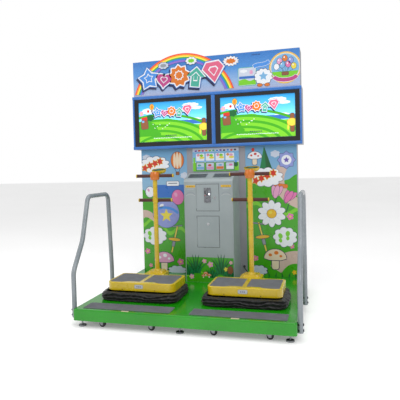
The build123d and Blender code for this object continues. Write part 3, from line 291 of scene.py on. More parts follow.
@dataclass(frozen=True)
class GradedFinish(Finish):
    """A printed film whose colour runs through stops up the height of the board."""
    low_mm: float = 0.0
    high_mm: float = 1000.0
    stops: tuple[tuple[float, str], ...] = ()

    def colours(self, tree: Tree, place: Socket) -> Socket:
        """Map the height between the low and high lines to the stops.

        Args:
            tree: the material's tree.
            place: object coordinates.

        Returns:
            The colour socket.
        """
        split = add_node(tree, "ShaderNodeSeparateXYZ", links={"Vector": place})
        share = add_node(tree, "ShaderNodeMapRange", links={"Value": split.outputs["Z"]},
                         inputs={"From Min": self.low_mm * MM, "From Max": self.high_mm * MM})
        return add_node(tree, "ShaderNodeValToRGB", links={"Fac": share.outputs["Result"]},
                        stops=self.stops).outputs["Color"]


@dataclass(frozen=True)
class BowFinish(Finish):
    """A printed rainbow: rings of colour about the arch's centre."""
    centre_mm: tuple[float, float] = (-298.0, 1786.5)
    inner_mm: float = 441.0
    outer_mm: float = 526.0

    def colours(self, tree: Tree, place: Socket) -> Socket:
        """Take the distance from the centre, in the board's plane, through constant colour stops.

        Args:
            tree: the material's tree.
            place: object coordinates.

        Returns:
            The colour socket.
        """
        flat = add_node(tree, "ShaderNodeVectorMath", settings={"operation": "MULTIPLY"},
                        inputs={1: (1.0, 0.0, 1.0)}, links={0: place})
        away = add_node(tree, "ShaderNodeVectorMath", settings={"operation": "DISTANCE"},
                        inputs={1: (self.centre_mm[0] * MM, 0.0, self.centre_mm[1] * MM)},
                        links={0: flat.outputs["Vector"]})
        share = add_node(tree, "ShaderNodeMapRange", inputs={"From Min": self.inner_mm * MM,
                                                             "From Max": self.outer_mm * MM},
                         links={"Value": away.outputs["Value"]})
        stops = ((0.0, "#7d62b8"), (0.22, "#2f6fc4"), (0.4, "#2f9a4a"), (0.56, "#e8d23a"), (0.72, "#ea8a2a"),
                 (0.86, "#d8402c"))
        bands = add_node(tree, "ShaderNodeValToRGB", links={"Fac": share.outputs["Result"]}, stops=stops)
        bands.color_ramp.interpolation = "CONSTANT"
        return bands.outputs["Color"]


class Shop(Enum):
    """The finishes of the machine's own parts."""
    # Moulded gelcoat: a deep wet gloss over slow colour drift, with pale shoe scuffs.
    GELCOAT = ScuffedFinish("green_gelcoat_moulded", "#128003", "#188e07", patch_mm=420, grain_mm=6, grain_depth=0.01,
                            roughness=0.2, spread=0.06, coat=0.16, scuff="#4f9438", amount=0.14)
    # Sprayed satin paint: an even dark grey.
    FRAME = Finish("black_satin_paint_sprayed", "#1b1c1e", "#232427", roughness=0.5)
    # Moulded rubber: matt, with a square pitch of studs drawn coarse enough to show.
    MAT = StuddedFinish("grey_antislip_rubber_moulded", "#43464d", "#50535b", patch_mm=60, grain_depth=0.08,
                        roughness=0.72, sheen=0.15)
    # Zinc plate: a broken grey metal with fine drawing lines.
    ZINC = BrushedFinish("zinc_plated_steel", "#8f9295", "#77797d", patch_mm=12, grain_mm=0.8, roughness=0.38,
                         metallic=1)
    # Black oxide: nearly black, softly metallic.
    BLACK_BOLT = Finish("black_oxide_bolts", "#111111", "#1c1c1c", patch_mm=8, grain_mm=0.6, roughness=0.35,
                        metallic=0.7)
    # Brush-touched gloss paint on tube: mid grey with paler hand wear.
    RAIL = ScuffedFinish("grey_gloss_paint_on_tube", "#747c81", "#80878c", patch_mm=160, grain_mm=3, roughness=0.26,
                         coat=0.35, scuff="#a9afb3", scuff_mm=9, amount=0.3)
    # Tyre rubber: matt black.
    WHEEL = Finish("black_caster_rubber", "#161617", "#242425", patch_mm=10, grain_mm=1, roughness=0.6)
    # Moulded yellow gelcoat: a greenish lemon gloss, rubbed paler in places.
    YELLOW = ScuffedFinish("yellow_gelcoat_moulded", "#c0a408", "#ccb010", patch_mm=160, grain_mm=5, grain_depth=0.01,
                           roughness=0.24, coat=0.4, scuff="#dcc850", scuff_mm=9, amount=0.2)
    # Gloss paint on steel: the same lemon, slightly deeper.
    POST = ScuffedFinish("yellow_gloss_paint_on_steel", "#b89a0a", "#c4a610", patch_mm=70, grain_mm=4, roughness=0.27,
                         coat=0.3, scuff="#d6c04c", scuff_mm=9, amount=0.2)
    # Ground rod: bright, with fine turning lines.
    GROUND = BrushedFinish("ground_steel_rod", "#b4b6b8", "#9c9ea1", patch_mm=10, grain_mm=0.5, roughness=0.18,
                           metallic=1)
    # Oiled wire: dark metal.
    SPRING = Finish("oiled_spring_steel", "#4a4d51", "#3a3d40", patch_mm=8, grain_mm=0.8, roughness=0.35, metallic=1)
    # Coated cloth: black with a crossed thread and a soft edge sheen.
    CLOTH = WovenFinish("black_coated_bellows_cloth", "#060607", "#0c0c0e", patch_mm=40, grain_depth=0.03,
                        roughness=0.46, spread=0.12, sheen=0.06, ior=1.4)
    # Foam sleeve: dark red-brown with open pores.
    FOAM = Finish("dark_red_foam_grip", "#3b120d", "#4a1a12", patch_mm=9, grain_mm=1.4, grain_depth=0.06,
                  roughness=0.7, sheen=0.2)
    # Moulded ABS: deep orange with a low gloss.
    ORANGE = Finish("orange_abs_moulded", "#b85f08", "#c46c0c", patch_mm=40, grain_mm=2, roughness=0.32, coat=0.2)
    # Clear-cast acrylic over green: a wet gloss.
    GREEN_BUTTON = Finish("green_acrylic_button", "#12562a", "#186834", patch_mm=20, grain_mm=3, roughness=0.14,
                          coat=0.5)
    # Moulded ABS: black, fine texture.
    BLACK_DISC = Finish("black_abs_disc", "#0e0e0f", "#161618", patch_mm=20, grain_mm=1.2, roughness=0.32)
    # Laminated board: a faint lilac grey with a satin face.
    BOARD = Finish("pale_grey_laminate_board", "#86868c", "#8d8d93", patch_mm=240, grain_mm=2, roughness=0.4)
    # Powder coat: a cool pale grey with a fine orange-peel bump.
    POWDER = Finish("pale_grey_powder_coat", "#8a9497", "#929b9e", patch_mm=260, grain_mm=1.6, grain_depth=0.05,
                    roughness=0.38, coat=0.1)
    # Back-painted acrylic: a bright blue under a hard gloss.
    BLUE = Finish("blue_acrylic_surround", "#2660a8", "#2e6bb6", patch_mm=200, grain_mm=5, grain_depth=0.01,
                  roughness=0.16, coat=0.5)
    # Gloss black acrylic: nearly a mirror.
    BEZEL = Finish("black_gloss_acrylic_bezel", "#08080c", "#0c0c12", patch_mm=120, grain_mm=5, grain_depth=0.005,
                   roughness=0.08, coat=0.4)
    # Brushed stainless: lines along X.
    STAINLESS = BrushedFinish("brushed_stainless", "#8b8d91", "#73757a", patch_mm=14, grain_mm=0.6, roughness=0.3,
                              metallic=1)
    # Chrome: bright and smooth.
    CHROME = Finish("chromed_lock_barrel", "#b6b8ba", "#a4a6aa", patch_mm=6, grain_mm=1, roughness=0.12, metallic=1)
    # Perforated steel, painted: mid grey.
    GRILLE = BrushedFinish("grey_perforated_steel", "#6c7378", "#5e646a", patch_mm=30, grain_mm=1, roughness=0.42,
                           metallic=0.6)
    # Galvanised sheet: spangled grey.
    CASE = Finish("galvanised_sheet_case", "#8c9093", "#74787c", patch_mm=22, grain_mm=2, roughness=0.4, metallic=0.9)
    # Extruded PVC: satin black.
    CABLE = Finish("black_pvc_cable", "#101011", "#1a1a1c", patch_mm=9, grain_mm=1, roughness=0.45)
    # Moulded ABS: black switch parts.
    BLACK_ABS = Finish("black_abs_switch", "#131314", "#1c1c1e", patch_mm=9, grain_mm=0.9, roughness=0.38)
    # Laminated print: a blue sky that pales downward.
    HEADER = GradedFinish("printed_header_film", "#4a93d8", "#b9d3ea", roughness=0.28, coat=0.3, grain_mm=6,
                          grain_depth=0.005, low_mm=1920, high_mm=2264,
                          stops=((0.0, "#9aa2bd"), (0.3, "#7f9fc8"), (0.62, "#4481c0"), (1.0, "#2c69ae")))
    # Laminated print: meadow green below, dull blue sky above.
    PANEL = GradedFinish("printed_panel_film", "#79b3e0", "#3e9a1c", roughness=0.42, coat=0.05, grain_mm=6,
                         grain_depth=0.005, low_mm=142, high_mm=1388,
                         stops=((0.0, "#2f8c08"), (0.6, "#3f9a12"), (0.66, "#7fa3bd"), (1.0, "#5a8fb6")))
    # Laminated print: six hard bands.
    BOW = BowFinish("printed_rainbow_film", "#d8402c", "#7d62b8", roughness=0.3, coat=0.3, grain_mm=6,
                    grain_depth=0.005)
    # Lit glass: a cyan sky that glows a little.
    SCREEN = GradedFinish("lit_display_glass", "#35b6ee", "#bfeaf8", roughness=0.1, coat=0.4, grain_mm=8,
                          grain_depth=0.002, glow=0.55, low_mm=1600, high_mm=1856,
                          stops=((0.0, "#9fe2f2"), (0.5, "#58bde2"), (1.0, "#1c86c4")))


INKS = {
    "navy": "#1c2048", "white": "#d3d6db", "cloud": "#b4bccb", "pink": "#c8689c", "rose": "#c98fb0", "red": "#b8291c",
    "orange": "#c4691c", "cream": "#cfbfa6", "yellow": "#cfa412", "lemon": "#d0bf3c", "lime": "#6cb81e",
    "grass": "#38940c", "leaf": "#0c5426", "pine": "#0c6e3a", "teal": "#3d9a88", "sky": "#6d9fc6", "blue": "#3f7fc8",
    "lake": "#2a62ac", "lilac": "#7e88c0", "violet": "#5a489c", "magenta": "#a83a78", "brown": "#7a4a2c",
    "path": "#b9a298", "grey": "#80868e", "black": "#16161a", "silver": "#aeb2b8", "coral": "#c85a78",
}


def ink(colour: str, lit: bool = False) -> Finish:
    """The finish of one printed colour: laminated vinyl, whose gloss lies over a flat ink, or a lit display.

    Args:
        colour: the ink's name.
        lit: whether it glows on a display.

    Returns:
        The finish.
    """
    if lit:
        return Finish(f"lit_{colour}_display", INKS[colour], INKS[colour], roughness=0.1, coat=0.4, grain_mm=8,
                      grain_depth=0.002, glow=0.6)
    return Finish(f"printed_{colour}_vinyl", INKS[colour], INKS[colour], patch_mm=150, grain_mm=6, grain_depth=0.005,
                  roughness=0.32, coat=0.25)


# ------------------------------------------------------------------ surfaces

def make_object(name: str, points: np.ndarray, faces: list, materials: list[bpy.types.Material],
                marks: list[int] | None = None, smooth: bool = True) -> Piece:
    """Put points (in millimetres) and faces into a new mesh object at the origin.

    Args:
        name: the object's name.
        points: N by 3 coordinates in millimetres.
        faces: lists of point numbers.
        materials: the material slots.
        marks: each face's slot number.
        smooth: whether faces shade smoothly.

    Returns:
        The linked object.
    """
    mesh = bpy.data.meshes.new(name)
    mesh.from_pydata((np.asarray(points) * MM).tolist(), [], [list(map(int, face)) for face in faces])
    for material in materials:
        mesh.materials.append(material)
    mesh.polygons.foreach_set("use_smooth", [smooth] * len(mesh.polygons))
    if marks is not None:
        mesh.polygons.foreach_set("material_index", marks)
    mesh.update()
    made = bpy.data.objects.new(name, mesh)
    bpy.context.scene.collection.objects.link(made)
    return made


def grid_faces(rows: int, columns: int, wrap_rows: bool, wrap_columns: bool) -> np.ndarray:
    """Quads of a grid of points, joined end to end where it wraps.

    Args:
        rows: points one way.
        columns: points the other way.
        wrap_rows: whether the rows join end to end.
        wrap_columns: whether the columns join end to end.

    Returns:
        Four point numbers for each quad.
    """
    i = np.arange(rows if wrap_rows else rows - 1)
    j = np.arange(columns if wrap_columns else columns - 1)
    a, b = np.meshgrid(i, j, indexing="ij")
    c = (a + 1) % rows
    d = (b + 1) % columns
    return np.stack([a * columns + b, c * columns + b, c * columns + d, a * columns + d], axis=-1).reshape(-1, 4)


def lathe(profile: np.ndarray, centre: tuple, axis: tuple, steps: int = 32,
          ring: bool = False) -> Part:
    """Turn a profile of (radius, height) about an axis: point = centre + height*axis + radius*(cos, sin) across it.

    Args:
        profile: N by 2, from one end to the other.
        centre: the axis's start, in millimetres.
        axis: its direction.
        steps: points round the turn.
        ring: join the profile's ends round a bore, instead of capping them.

    Returns:
        Points and faces.
    """
    up = Vector(axis).normalized()
    side = up.orthogonal().normalized()
    across = up.cross(side)
    turn = np.linspace(0, 2 * math.pi, steps, endpoint=False)
    spokes = np.outer(np.cos(turn), side) + np.outer(np.sin(turn), across)
    profile = np.asarray(profile, float)
    points = (np.asarray(centre, float) + profile[:, 1, None, None] * np.asarray(up)
              + profile[:, 0, None, None] * spokes[None])
    faces = grid_faces(len(profile), steps, ring, True)[:, ::-1].tolist()
    if not ring:
        last = (len(profile) - 1) * steps
        faces += [list(range(steps))[::-1], list(range(last, last + steps))]
    return points.reshape(-1, 3), faces


def merged(parts: list[Part]) -> Part:
    """Join several sets of points and faces into one.

    Args:
        parts: points and faces of each part.

    Returns:
        All the points, and faces that count through them.
    """
    points = []
    faces = []
    count = 0
    for some_points, some_faces in parts:
        points.append(some_points)
        faces += [[index + count for index in face] for face in some_faces]
        count += len(some_points)
    return np.concatenate(points), faces


def make_piece(name: str, parts: list[Part], finish: Finish, body: str, smooth: bool = True) -> Piece:
    """Join parts into one piece of one finish that rides on a CAD body.

    Args:
        name: the piece's name.
        parts: the points and faces of each part.
        finish: what it is made of.
        body: the CAD body that it moves with.
        smooth: whether faces shade smoothly.

    Returns:
        The finished piece.
    """
    points, faces = merged(parts)
    made = make_object(name, points, faces, [finish.material()], smooth=smooth)
    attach(made, body)
    LOG.info("%s: %d faces", name, len(faces))
    return made


def domes(radii: tuple[float, float, float], rise: float, root: float, rings: int, spots: Iterable[tuple],
          steps: int) -> list[Part]:
    """Low domes on a short collar: height = rise * (1 - (radius / zero)^2).

    Args:
        radii: the flat middle's radius, the rim's, and where the height would come to zero.
        rise: the height at the middle.
        root: how far the collar goes into the surface.
        rings: points from the middle to the rim.
        spots: each dome's middle and outward direction.
        steps: points round the turn.

    Returns:
        The points and faces of each dome.
    """
    core, rim, zero = radii
    away = np.linspace(core, rim, rings)
    dome = np.stack([away, rise * (1 - (away / zero) ** 2)], axis=1)[::-1]
    profile = np.vstack([[(rim, -root)], dome])
    return [lathe(profile, spot, way, steps) for spot, way in spots]


def rounded_loop(half_w: float, half_d: float, radius: float, steps: int) -> tuple[np.ndarray, np.ndarray]:
    """Points round a rounded rectangle at even spacing, with their outward normals.

    The loop is a superellipse of power 2 + 1.6*(lesser half)/radius at even arc length, so its corners stay soft.

    Args:
        half_w: half its width.
        half_d: half its depth.
        radius: its corner radius.
        steps: how many points.

    Returns:
        The points and their normals.
    """
    power = 2.0 + 1.6 * min(half_w, half_d) / radius
    turn = np.linspace(0, 2 * math.pi, 2000, endpoint=False)
    c, s = np.cos(turn), np.sin(turn)
    x = half_w * np.sign(c) * np.abs(c) ** (2 / power)
    y = half_d * np.sign(s) * np.abs(s) ** (2 / power)
    line = np.stack([x, y], axis=1)
    gaps = np.linalg.norm(np.roll(line, -1, 0) - line, axis=1)
    along = np.concatenate([[0.0], np.cumsum(gaps)])
    want = np.linspace(0, along[-1], steps, endpoint=False)
    closed = np.vstack([line, line[:1]])
    even = np.stack([np.interp(want, along, closed[:, k]) for k in range(2)], axis=1)
    tangent = np.roll(even, -1, 0) - np.roll(even, 1, 0)
    normal = np.stack([tangent[:, 1], -tangent[:, 0]], axis=1)
    return even, normal / np.linalg.norm(normal, axis=1, keepdims=True)


# ------------------------------------------------------------------ printed shapes

def turned(shape: Outline, x: float, z: float, turn: float) -> Outline:
    """Turn an outline about its own origin, then move it to (x, z).

    Args:
        shape: the outline's points.
        x: where its origin goes.
        z: where its origin goes.
        turn: degrees.

    Returns:
        The moved outline.
    """
    t = math.radians(turn)
    return shape @ np.array([[math.cos(t), math.sin(t)], [-math.sin(t), math.cos(t)]]) + (x, z)


def signed_area(shape: Outline) -> float:
    """Twice an outline's area, above zero where it runs anticlockwise."""
    return float(np.sum(shape[:, 0] * np.roll(shape[:, 1], -1) - np.roll(shape[:, 0], -1) * shape[:, 1]))


def ellipse(x: float, z: float, rx: float, rz: float, turn: float = 0.0, steps: int = 40) -> Outline:
    """An ellipse about (x, z), turned by degrees."""
    angle = np.linspace(0, 2 * math.pi, steps, endpoint=False)
    return turned(np.stack([rx * np.cos(angle), rz * np.sin(angle)], axis=1), x, z, turn)


def lobed(x: float, z: float, rx: float, rz: float, lobes: int, depth: float = 0.2, turn: float = 0.0) -> Outline:
    """A cloud or flower: radius = 1 - depth + depth*|sin(lobes*angle/2)| of an ellipse.

    Args:
        x: its middle across, in millimetres.
        z: its middle up, in millimetres.
        rx: half its width.
        rz: half its height.
        lobes: how many lobes.
        depth: how deep the notches go, as a share.
        turn: degrees it is turned.

    Returns:
        The outline.
    """
    angle = np.linspace(0, 2 * math.pi, 16 * lobes, endpoint=False)
    size = 1 - depth + depth * np.abs(np.sin(lobes * angle / 2 + math.radians(turn)))
    return np.stack([x + rx * size * np.cos(angle), z + rz * size * np.sin(angle)], axis=1)


def spiked(x: float, z: float, rx: float, rz: float, spikes: int, depth: float = 0.3, turn: float = 90.0) -> Outline:
    """A star or burst: alternate points at the full and the reduced radius.

    Args:
        x: its middle across, in millimetres.
        z: its middle up, in millimetres.
        rx: half its width.
        rz: half its height.
        spikes: how many points.
        depth: how deep the notches go, as a share.
        turn: degrees it is turned.

    Returns:
        The outline.
    """
    angle = np.linspace(0, 2 * math.pi, 2 * spikes, endpoint=False) + math.radians(turn)
    size = np.where(np.arange(2 * spikes) % 2 == 0, 1.0, 1 - depth)
    return np.stack([x + rx * size * np.cos(angle), z + rz * size * np.sin(angle)], axis=1)


def card(x: float, z: float, w: float, h: float, radius: float, turn: float = 0.0) -> Outline:
    """A rectangle with round corners: a quarter circle at each, turned by degrees about its middle.

    Args:
        x: its middle across, in millimetres.
        z: its middle up, in millimetres.
        w: its width.
        h: its height.
        radius: its corner radius.
        turn: degrees it is turned.

    Returns:
        The outline.
    """
    quarter = np.linspace(0, math.pi / 2, 6)
    corners = [(1, 1, 0), (-1, 1, 1), (-1, -1, 2), (1, -1, 3)]
    rows = [np.stack([a * (w / 2 - radius) + radius * np.cos(quarter + k * math.pi / 2),
                      b * (h / 2 - radius) + radius * np.sin(quarter + k * math.pi / 2)], axis=1)
            for a, b, k in corners]
    return turned(np.concatenate(rows), x, z, turn)


def ribbon(points: Iterable[tuple[float, float]], width: float, taper: float = 1.0) -> Outline:
    """A band of the given width along a smooth curve through points; taper is the end width's share.

    Args:
        points: the points it runs through.
        width: its width.
        taper: the end width's share of the start.

    Returns:
        The outline.
    """
    path = np.asarray(list(points), float)
    knots = np.linspace(0, 1, len(path))
    fine = np.linspace(0, 1, 12 * len(path))
    degree = min(len(path) - 1, 3)
    curve = np.stack([np.polyval(np.polyfit(knots, path[:, k], degree), fine) for k in range(2)], axis=1)
    run = np.gradient(curve, axis=0)
    normal = np.stack([-run[:, 1], run[:, 0]], axis=1) / np.linalg.norm(run, axis=1, keepdims=True)
    half = (width / 2 * np.linspace(1, taper, len(fine)))[:, None]
    return np.concatenate([curve + normal * half, (curve - normal * half)[::-1]])


def hill(x0: float, x1: float, floor: float, tops: Iterable[float]) -> Outline:
    """Ground from a floor line up to a smooth skyline through evenly spaced heights.

    Args:
        x0: where it starts.
        x1: where it ends.
        floor: its lower edge.
        tops: evenly spaced heights of the skyline.

    Returns:
        The outline.
    """
    tops = np.asarray(list(tops), float)
    x = np.linspace(x0, x1, 40)
    share = np.linspace(0, len(tops) - 1, 40)
    low = np.clip(share.astype(int), 0, len(tops) - 2)
    ease = (1 - np.cos((share - low) * math.pi)) / 2
    z = tops[low] * (1 - ease) + tops[low + 1] * ease
    line = np.stack([x, z], axis=1)
    return np.concatenate([[(x0, floor), (x1, floor)], line[::-1]])


def blade(x: float, z: float, height: float, lean: float, width: float) -> Outline:
    """A grass blade: two curves that start a width apart and meet at a leaning tip.

    Args:
        x: its middle across, in millimetres.
        z: its middle up, in millimetres.
        height: how tall it is.
        lean: how far its tip leans.
        width: its width.

    Returns:
        The outline.
    """
    t = np.linspace(0, 1, 8)
    bend = lean * t ** 2
    left = np.stack([x - width / 2 * (1 - t) + bend, z + height * t], axis=1)
    right = np.stack([x + width / 2 * (1 - t) + bend, z + height * t], axis=1)
    return np.concatenate([left, right[::-1][1:]])


def grown(shape: Outline, by: float) -> Outline:
    """Move each point of an outline outward along its normal.

    Args:
        shape: the outline.
        by: how far, in millimetres.

    Returns:
        The grown outline.
    """
    run = np.roll(shape, -1, 0) - np.roll(shape, 1, 0)
    normal = np.stack([run[:, 1], -run[:, 0]], axis=1)
    normal /= np.maximum(np.linalg.norm(normal, axis=1, keepdims=True), 1e-9)
    return shape + normal * by * (1 if signed_area(shape) > 0 else -1)


def clipped(shape: Outline, box: tuple[float, float, float, float]) -> Outline:
    """Cut an outline at the four edges of a box (x0, x1, z0, z1), edge by edge.

    Args:
        shape: the outline.
        box: x0, x1, z0 and z1.

    Returns:
        What is left of it.
    """
    for axis, limit, sign in ((0, box[0], -1), (0, box[1], 1), (1, box[2], -1), (1, box[3], 1)):
        if len(shape) < 3:
            return shape
        here = (shape[:, axis] - limit) * sign
        there = np.roll(here, -1)
        inside = here <= 0
        crosses = inside != (there <= 0)
        share = np.where(crosses, here / np.where(here == there, 1, here - there), 0)[:, None]
        cut = shape + (np.roll(shape, -1, 0) - shape) * share
        both = np.stack([shape, cut], axis=1).reshape(-1, 2)
        shape = both[np.stack([inside, crosses], axis=1).ravel()]
    return shape


@dataclass
class PrintSheet:
    """Printed film on a board's front face: each shape is a thin closed layer, higher levels in front."""
    name: str
    face_y: float
    box: tuple[float, float, float, float]
    body: str = "cabinet"
    slot: str = "printed_board"
    lit: bool = False
    step: float = 0.12
    shapes: list = field(default_factory=list)

    def add(self, shape: Outline, colour: str, level: float) -> None:
        """Cut a shape to the sheet and keep it.

        Args:
            shape: the outline.
            colour: the ink's name.
            level: its layer.
        """
        cut = clipped(shape, self.box)
        if len(cut) > 2:
            self.shapes.append((cut, colour, level))

    def sticker(self, shape: Outline, colour: str, level: float, edge: float = 4.0, edge_colour: str = "navy") -> None:
        """A shape with a drawn outline round it."""
        self.add(grown(shape, edge), edge_colour, level)
        self.add(shape, colour, level + 0.6)

    def build(self) -> Piece:
        """Turn every shape into a closed thin prism and join them in one piece.

        Returns:
            The finished piece, riding on its body.
        """
        colours = sorted({colour for _, colour, _ in self.shapes})
        points = []
        faces = []
        marks = []
        count = 0
        for shape, colour, level in self.shapes:
            size = len(shape)
            ring = shape if signed_area(shape) > 0 else shape[::-1]
            front = self.face_y - self.step * (level + 1)
            for depth in (front, self.face_y + 0.01):
                points.append(np.stack([ring[:, 0], np.full(size, depth), ring[:, 1]], axis=1))
            index = np.arange(size)
            after = (index + 1) % size
            faces.append((index + count).tolist())
            faces.append((index[::-1] + count + size).tolist())
            faces += (np.stack([index, index + size, after + size, after], axis=1) + count).tolist()
            marks += [colours.index(colour)] * (size + 2)
            count += 2 * size
        made = make_object(self.name, np.concatenate(points), faces, [ink(c, self.lit).material() for c in colours],
                           marks, False)
        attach(made, self.body)
        LOG.info("%s: %d printed shapes", self.name, len(self.shapes))
        return made

    def flower(self, x: float, z: float, r: float, colour: str, level: float, petals: int = 5) -> None:
        """A round-petalled flower with a pale middle."""
        self.add(lobed(x, z, r, r, petals, 0.35), colour, level)
        self.add(ellipse(x, z, r * 0.28, r * 0.28), "lemon", level + 0.6)

    def balloon(self, x: float, z: float, rx: float, rz: float, colours: tuple[str, str], level: float) -> None:
        """A hot-air balloon: gores of two colours, ropes and a basket.

        Args:
            x: its middle across, in millimetres.
            z: its middle up, in millimetres.
            rx: half its width.
            rz: half its height.
            colours: the two inks.
            level: its layer.
        """
        self.sticker(ellipse(x, z, rx, rz), colours[0], level)
        for share in (-0.62, 0.0, 0.62):
            gore = ellipse(x + share * rx * 0.72, z, rx * (0.2 if share else 0.24),
                           rz * math.sqrt(1 - (share * 0.72) ** 2))
            self.add(gore, colours[1], level + 1)
        for side in (-1, 1):
            self.add(ribbon([(x + side * rx * 0.5, z - rz * 0.86), (x + side * rx * 0.2, z - rz * 1.4)], 4), "navy",
                     level)
        self.sticker(card(x, z - rz * 1.55, rx * 0.5, rz * 0.36, 5), "brown", level, 3)

    def mushroom(self, x: float, z: float, r: float, cap: str, spots: str, level: float) -> None:
        """A mushroom: a stem, a domed cap and three spots.

        Args:
            x: its middle across, in millimetres.
            z: its middle up, in millimetres.
            r: its radius.
            cap: the cap's ink.
            spots: the spots' ink.
            level: its layer.
        """
        self.sticker(card(x, z - r * 0.5, r * 0.62, r * 1.0, r * 0.2), "cream", level, r * 0.06)
        dome = np.concatenate([ellipse(x, z, r, r * 0.85)[:21], [(x - r * 0.5, z - r * 0.16),
                                                                 (x + r * 0.5, z - r * 0.16)]])
        self.sticker(dome, cap, level + 0.7, r * 0.06)
        for dx, dz, size in ((-0.45, 0.32, 0.16), (0.1, 0.52, 0.2), (0.5, 0.22, 0.13)):
            self.add(ellipse(x + dx * r, z + dz * r, size * r, size * r * 0.85), spots, level + 2)

    def pogo(self, x: float, z: float, size: float, turn: float, level: float) -> None:
        """A pogo stick: grips, post, footplate, spring barrel and tip, leaning by degrees.

        Args:
            x: its middle across, in millimetres.
            z: its middle up, in millimetres.
            size: its size, in millimetres.
            turn: degrees it is turned.
            level: its layer.
        """
        lean = math.tan(math.radians(turn))

        def at(up: float, out: float = 0.0) -> tuple[float, float]:
            """A point up the stick and out to its side."""
            return x + lean * up * size + out * size, z + up * size

        self.add(ribbon([at(0.86, -0.34), at(0.86 + 0.34 * lean, 0.34)], size * 0.1), "navy", level)
        self.add(ribbon([at(0.86, -0.32), at(0.86 + 0.32 * lean, 0.32)], size * 0.06), "grey", level + 0.6)
        self.add(ribbon([at(-0.9), at(0.9)], size * 0.15), "navy", level)
        self.add(ribbon([at(-0.88), at(0.9)], size * 0.09), "lemon", level + 0.6)
        self.sticker(ellipse(*at(0.0), size * 0.42, size * 0.1, -turn * 0.4), "yellow", level + 1, size * 0.03)
        self.sticker(card(*at(-0.3), size * 0.18, size * 0.34, size * 0.05, -turn), "grey", level + 1, size * 0.025)

    def title(self, icon: Outline, x: float, z: float, size: float, turn: float, colour: str, level: float) -> None:
        """A chunky title icon: dark drop shadow, white border, a coloured face and a paler core.

        Args:
            icon: its outline, about 1 either way.
            x: its middle across, in millimetres.
            z: its middle up, in millimetres.
            size: its size, in millimetres.
            turn: degrees it is turned.
            colour: the ink's name.
            level: its layer.
        """
        face = turned(icon * size, x, z, turn)
        self.add(grown(face, size * 0.22) + (-size * 0.12, -size * 0.2), "navy", level)
        self.add(grown(face, size * 0.22), "lake", level + 0.4)
        self.add(grown(face, size * 0.14), "white", level + 1)
        self.add(face, colour, level + 1.6)
        self.add(turned(icon * size * 0.5, x, z + size * 0.06, turn), "white", level + 2.2)
        self.add(turned(icon * size * 0.38, x, z + size * 0.06, turn), colour, level + 2.6)

    def star_row(self, x: float, z: float, size: float, turns: tuple[int, int], places: tuple, level: float) -> None:
        """Red stars with a lemon edge, each turned a little more than the last.

        Args:
            x: its middle across, in millimetres.
            z: its middle up, in millimetres.
            size: half their width.
            turns: the first star's turn and the step.
            places: where each goes, from the middle.
            level: its layer.
        """
        for k, (dx, dz) in enumerate(places):
            star = spiked(x + dx, z + dz, size, 40, 5 + k % 2, 0.45, turns[0] + turns[1] * k)
            self.sticker(star, "red", level, 5, "lemon")

    def footprints(self, x: float, z: float, places: tuple, level: float) -> None:
        """Footprints in lime: a sole and a smaller heel below it.

        Args:
            x: its middle across, in millimetres.
            z: its middle up, in millimetres.
            places: where each goes, from the middle.
            level: its layer.
        """
        for dx, dz, turn in places:
            for shift, size in ((0, 1.0), (44, 0.78)):
                self.add(ellipse(x + dx, z + dz - shift, 20 * size, 26 * size, turn), "lime", level)

    def fringe(self, first: int, last: int, lean: float) -> None:
        """Grass blades along the board's foot, leaning in turns."""
        for x in range(first, last, 62):
            self.add(blade(x, 142, 58, lean if x % 4 else -18, 15), "leaf", 3.6)


def title_tiles(sheet: PrintSheet, x: float, z: float, scale: float, level: float) -> None:
    """Five leaning icons in a row: star, heart, sun, arrow and gem, each as points of a smooth or straight outline.

    Args:
        sheet: the sheet to draw on.
        x: its middle across, in millimetres.
        z: its middle up, in millimetres.
        scale: its size, 1 on the header.
        level: its layer.
    """
    angle = np.linspace(0, 2 * math.pi, 40, endpoint=False)
    heart = np.stack([16 * np.sin(angle) ** 3,
                      13 * np.cos(angle) - 5 * np.cos(2 * angle) - 2 * np.cos(3 * angle) - np.cos(4 * angle)], 1) / 16
    arrow = np.array([(0, 1), (1, 0.05), (0.45, 0.05), (0.45, -1), (-0.45, -1), (-0.45, 0.05), (-1, 0.05)], float)[::-1]
    gem = np.array([(-0.6, 0.9), (0.6, 0.9), (1, 0.35), (0, -1), (-1, 0.35)], float)[::-1]
    icons = (spiked(0, 0, 1.1, 1.1, 5, 0.42), heart, spiked(0, 0, 1.05, 1.05, 9, 0.24), arrow, gem)
    colours = ("blue", "magenta", "orange", "teal", "coral")
    places = ((-322, -4, 98, 8), (-160, -26, 78, -8), (0, 4, 102, 5), (172, -20, 94, -8), (352, 18, 104, 6))
    for icon, colour, (dx, dz, size, turn) in zip(icons, colours, places):
        sheet.title(icon, x + dx * scale, z + dz * scale, size * scale, turn, colour, level)


# ------------------------------------------------------------------ sub-assemblies

def dress(finish: Finish, *nodes: str) -> None:
    """Give CAD nodes a finish.

    Args:
        finish: the finish.
        nodes: the nodes' names.
    """
    material = finish.material()
    for node in nodes:
        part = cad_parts[node]
        if not part.material_slots:
            part.data.materials.append(material)
        for place in part.material_slots:
            place.material = material


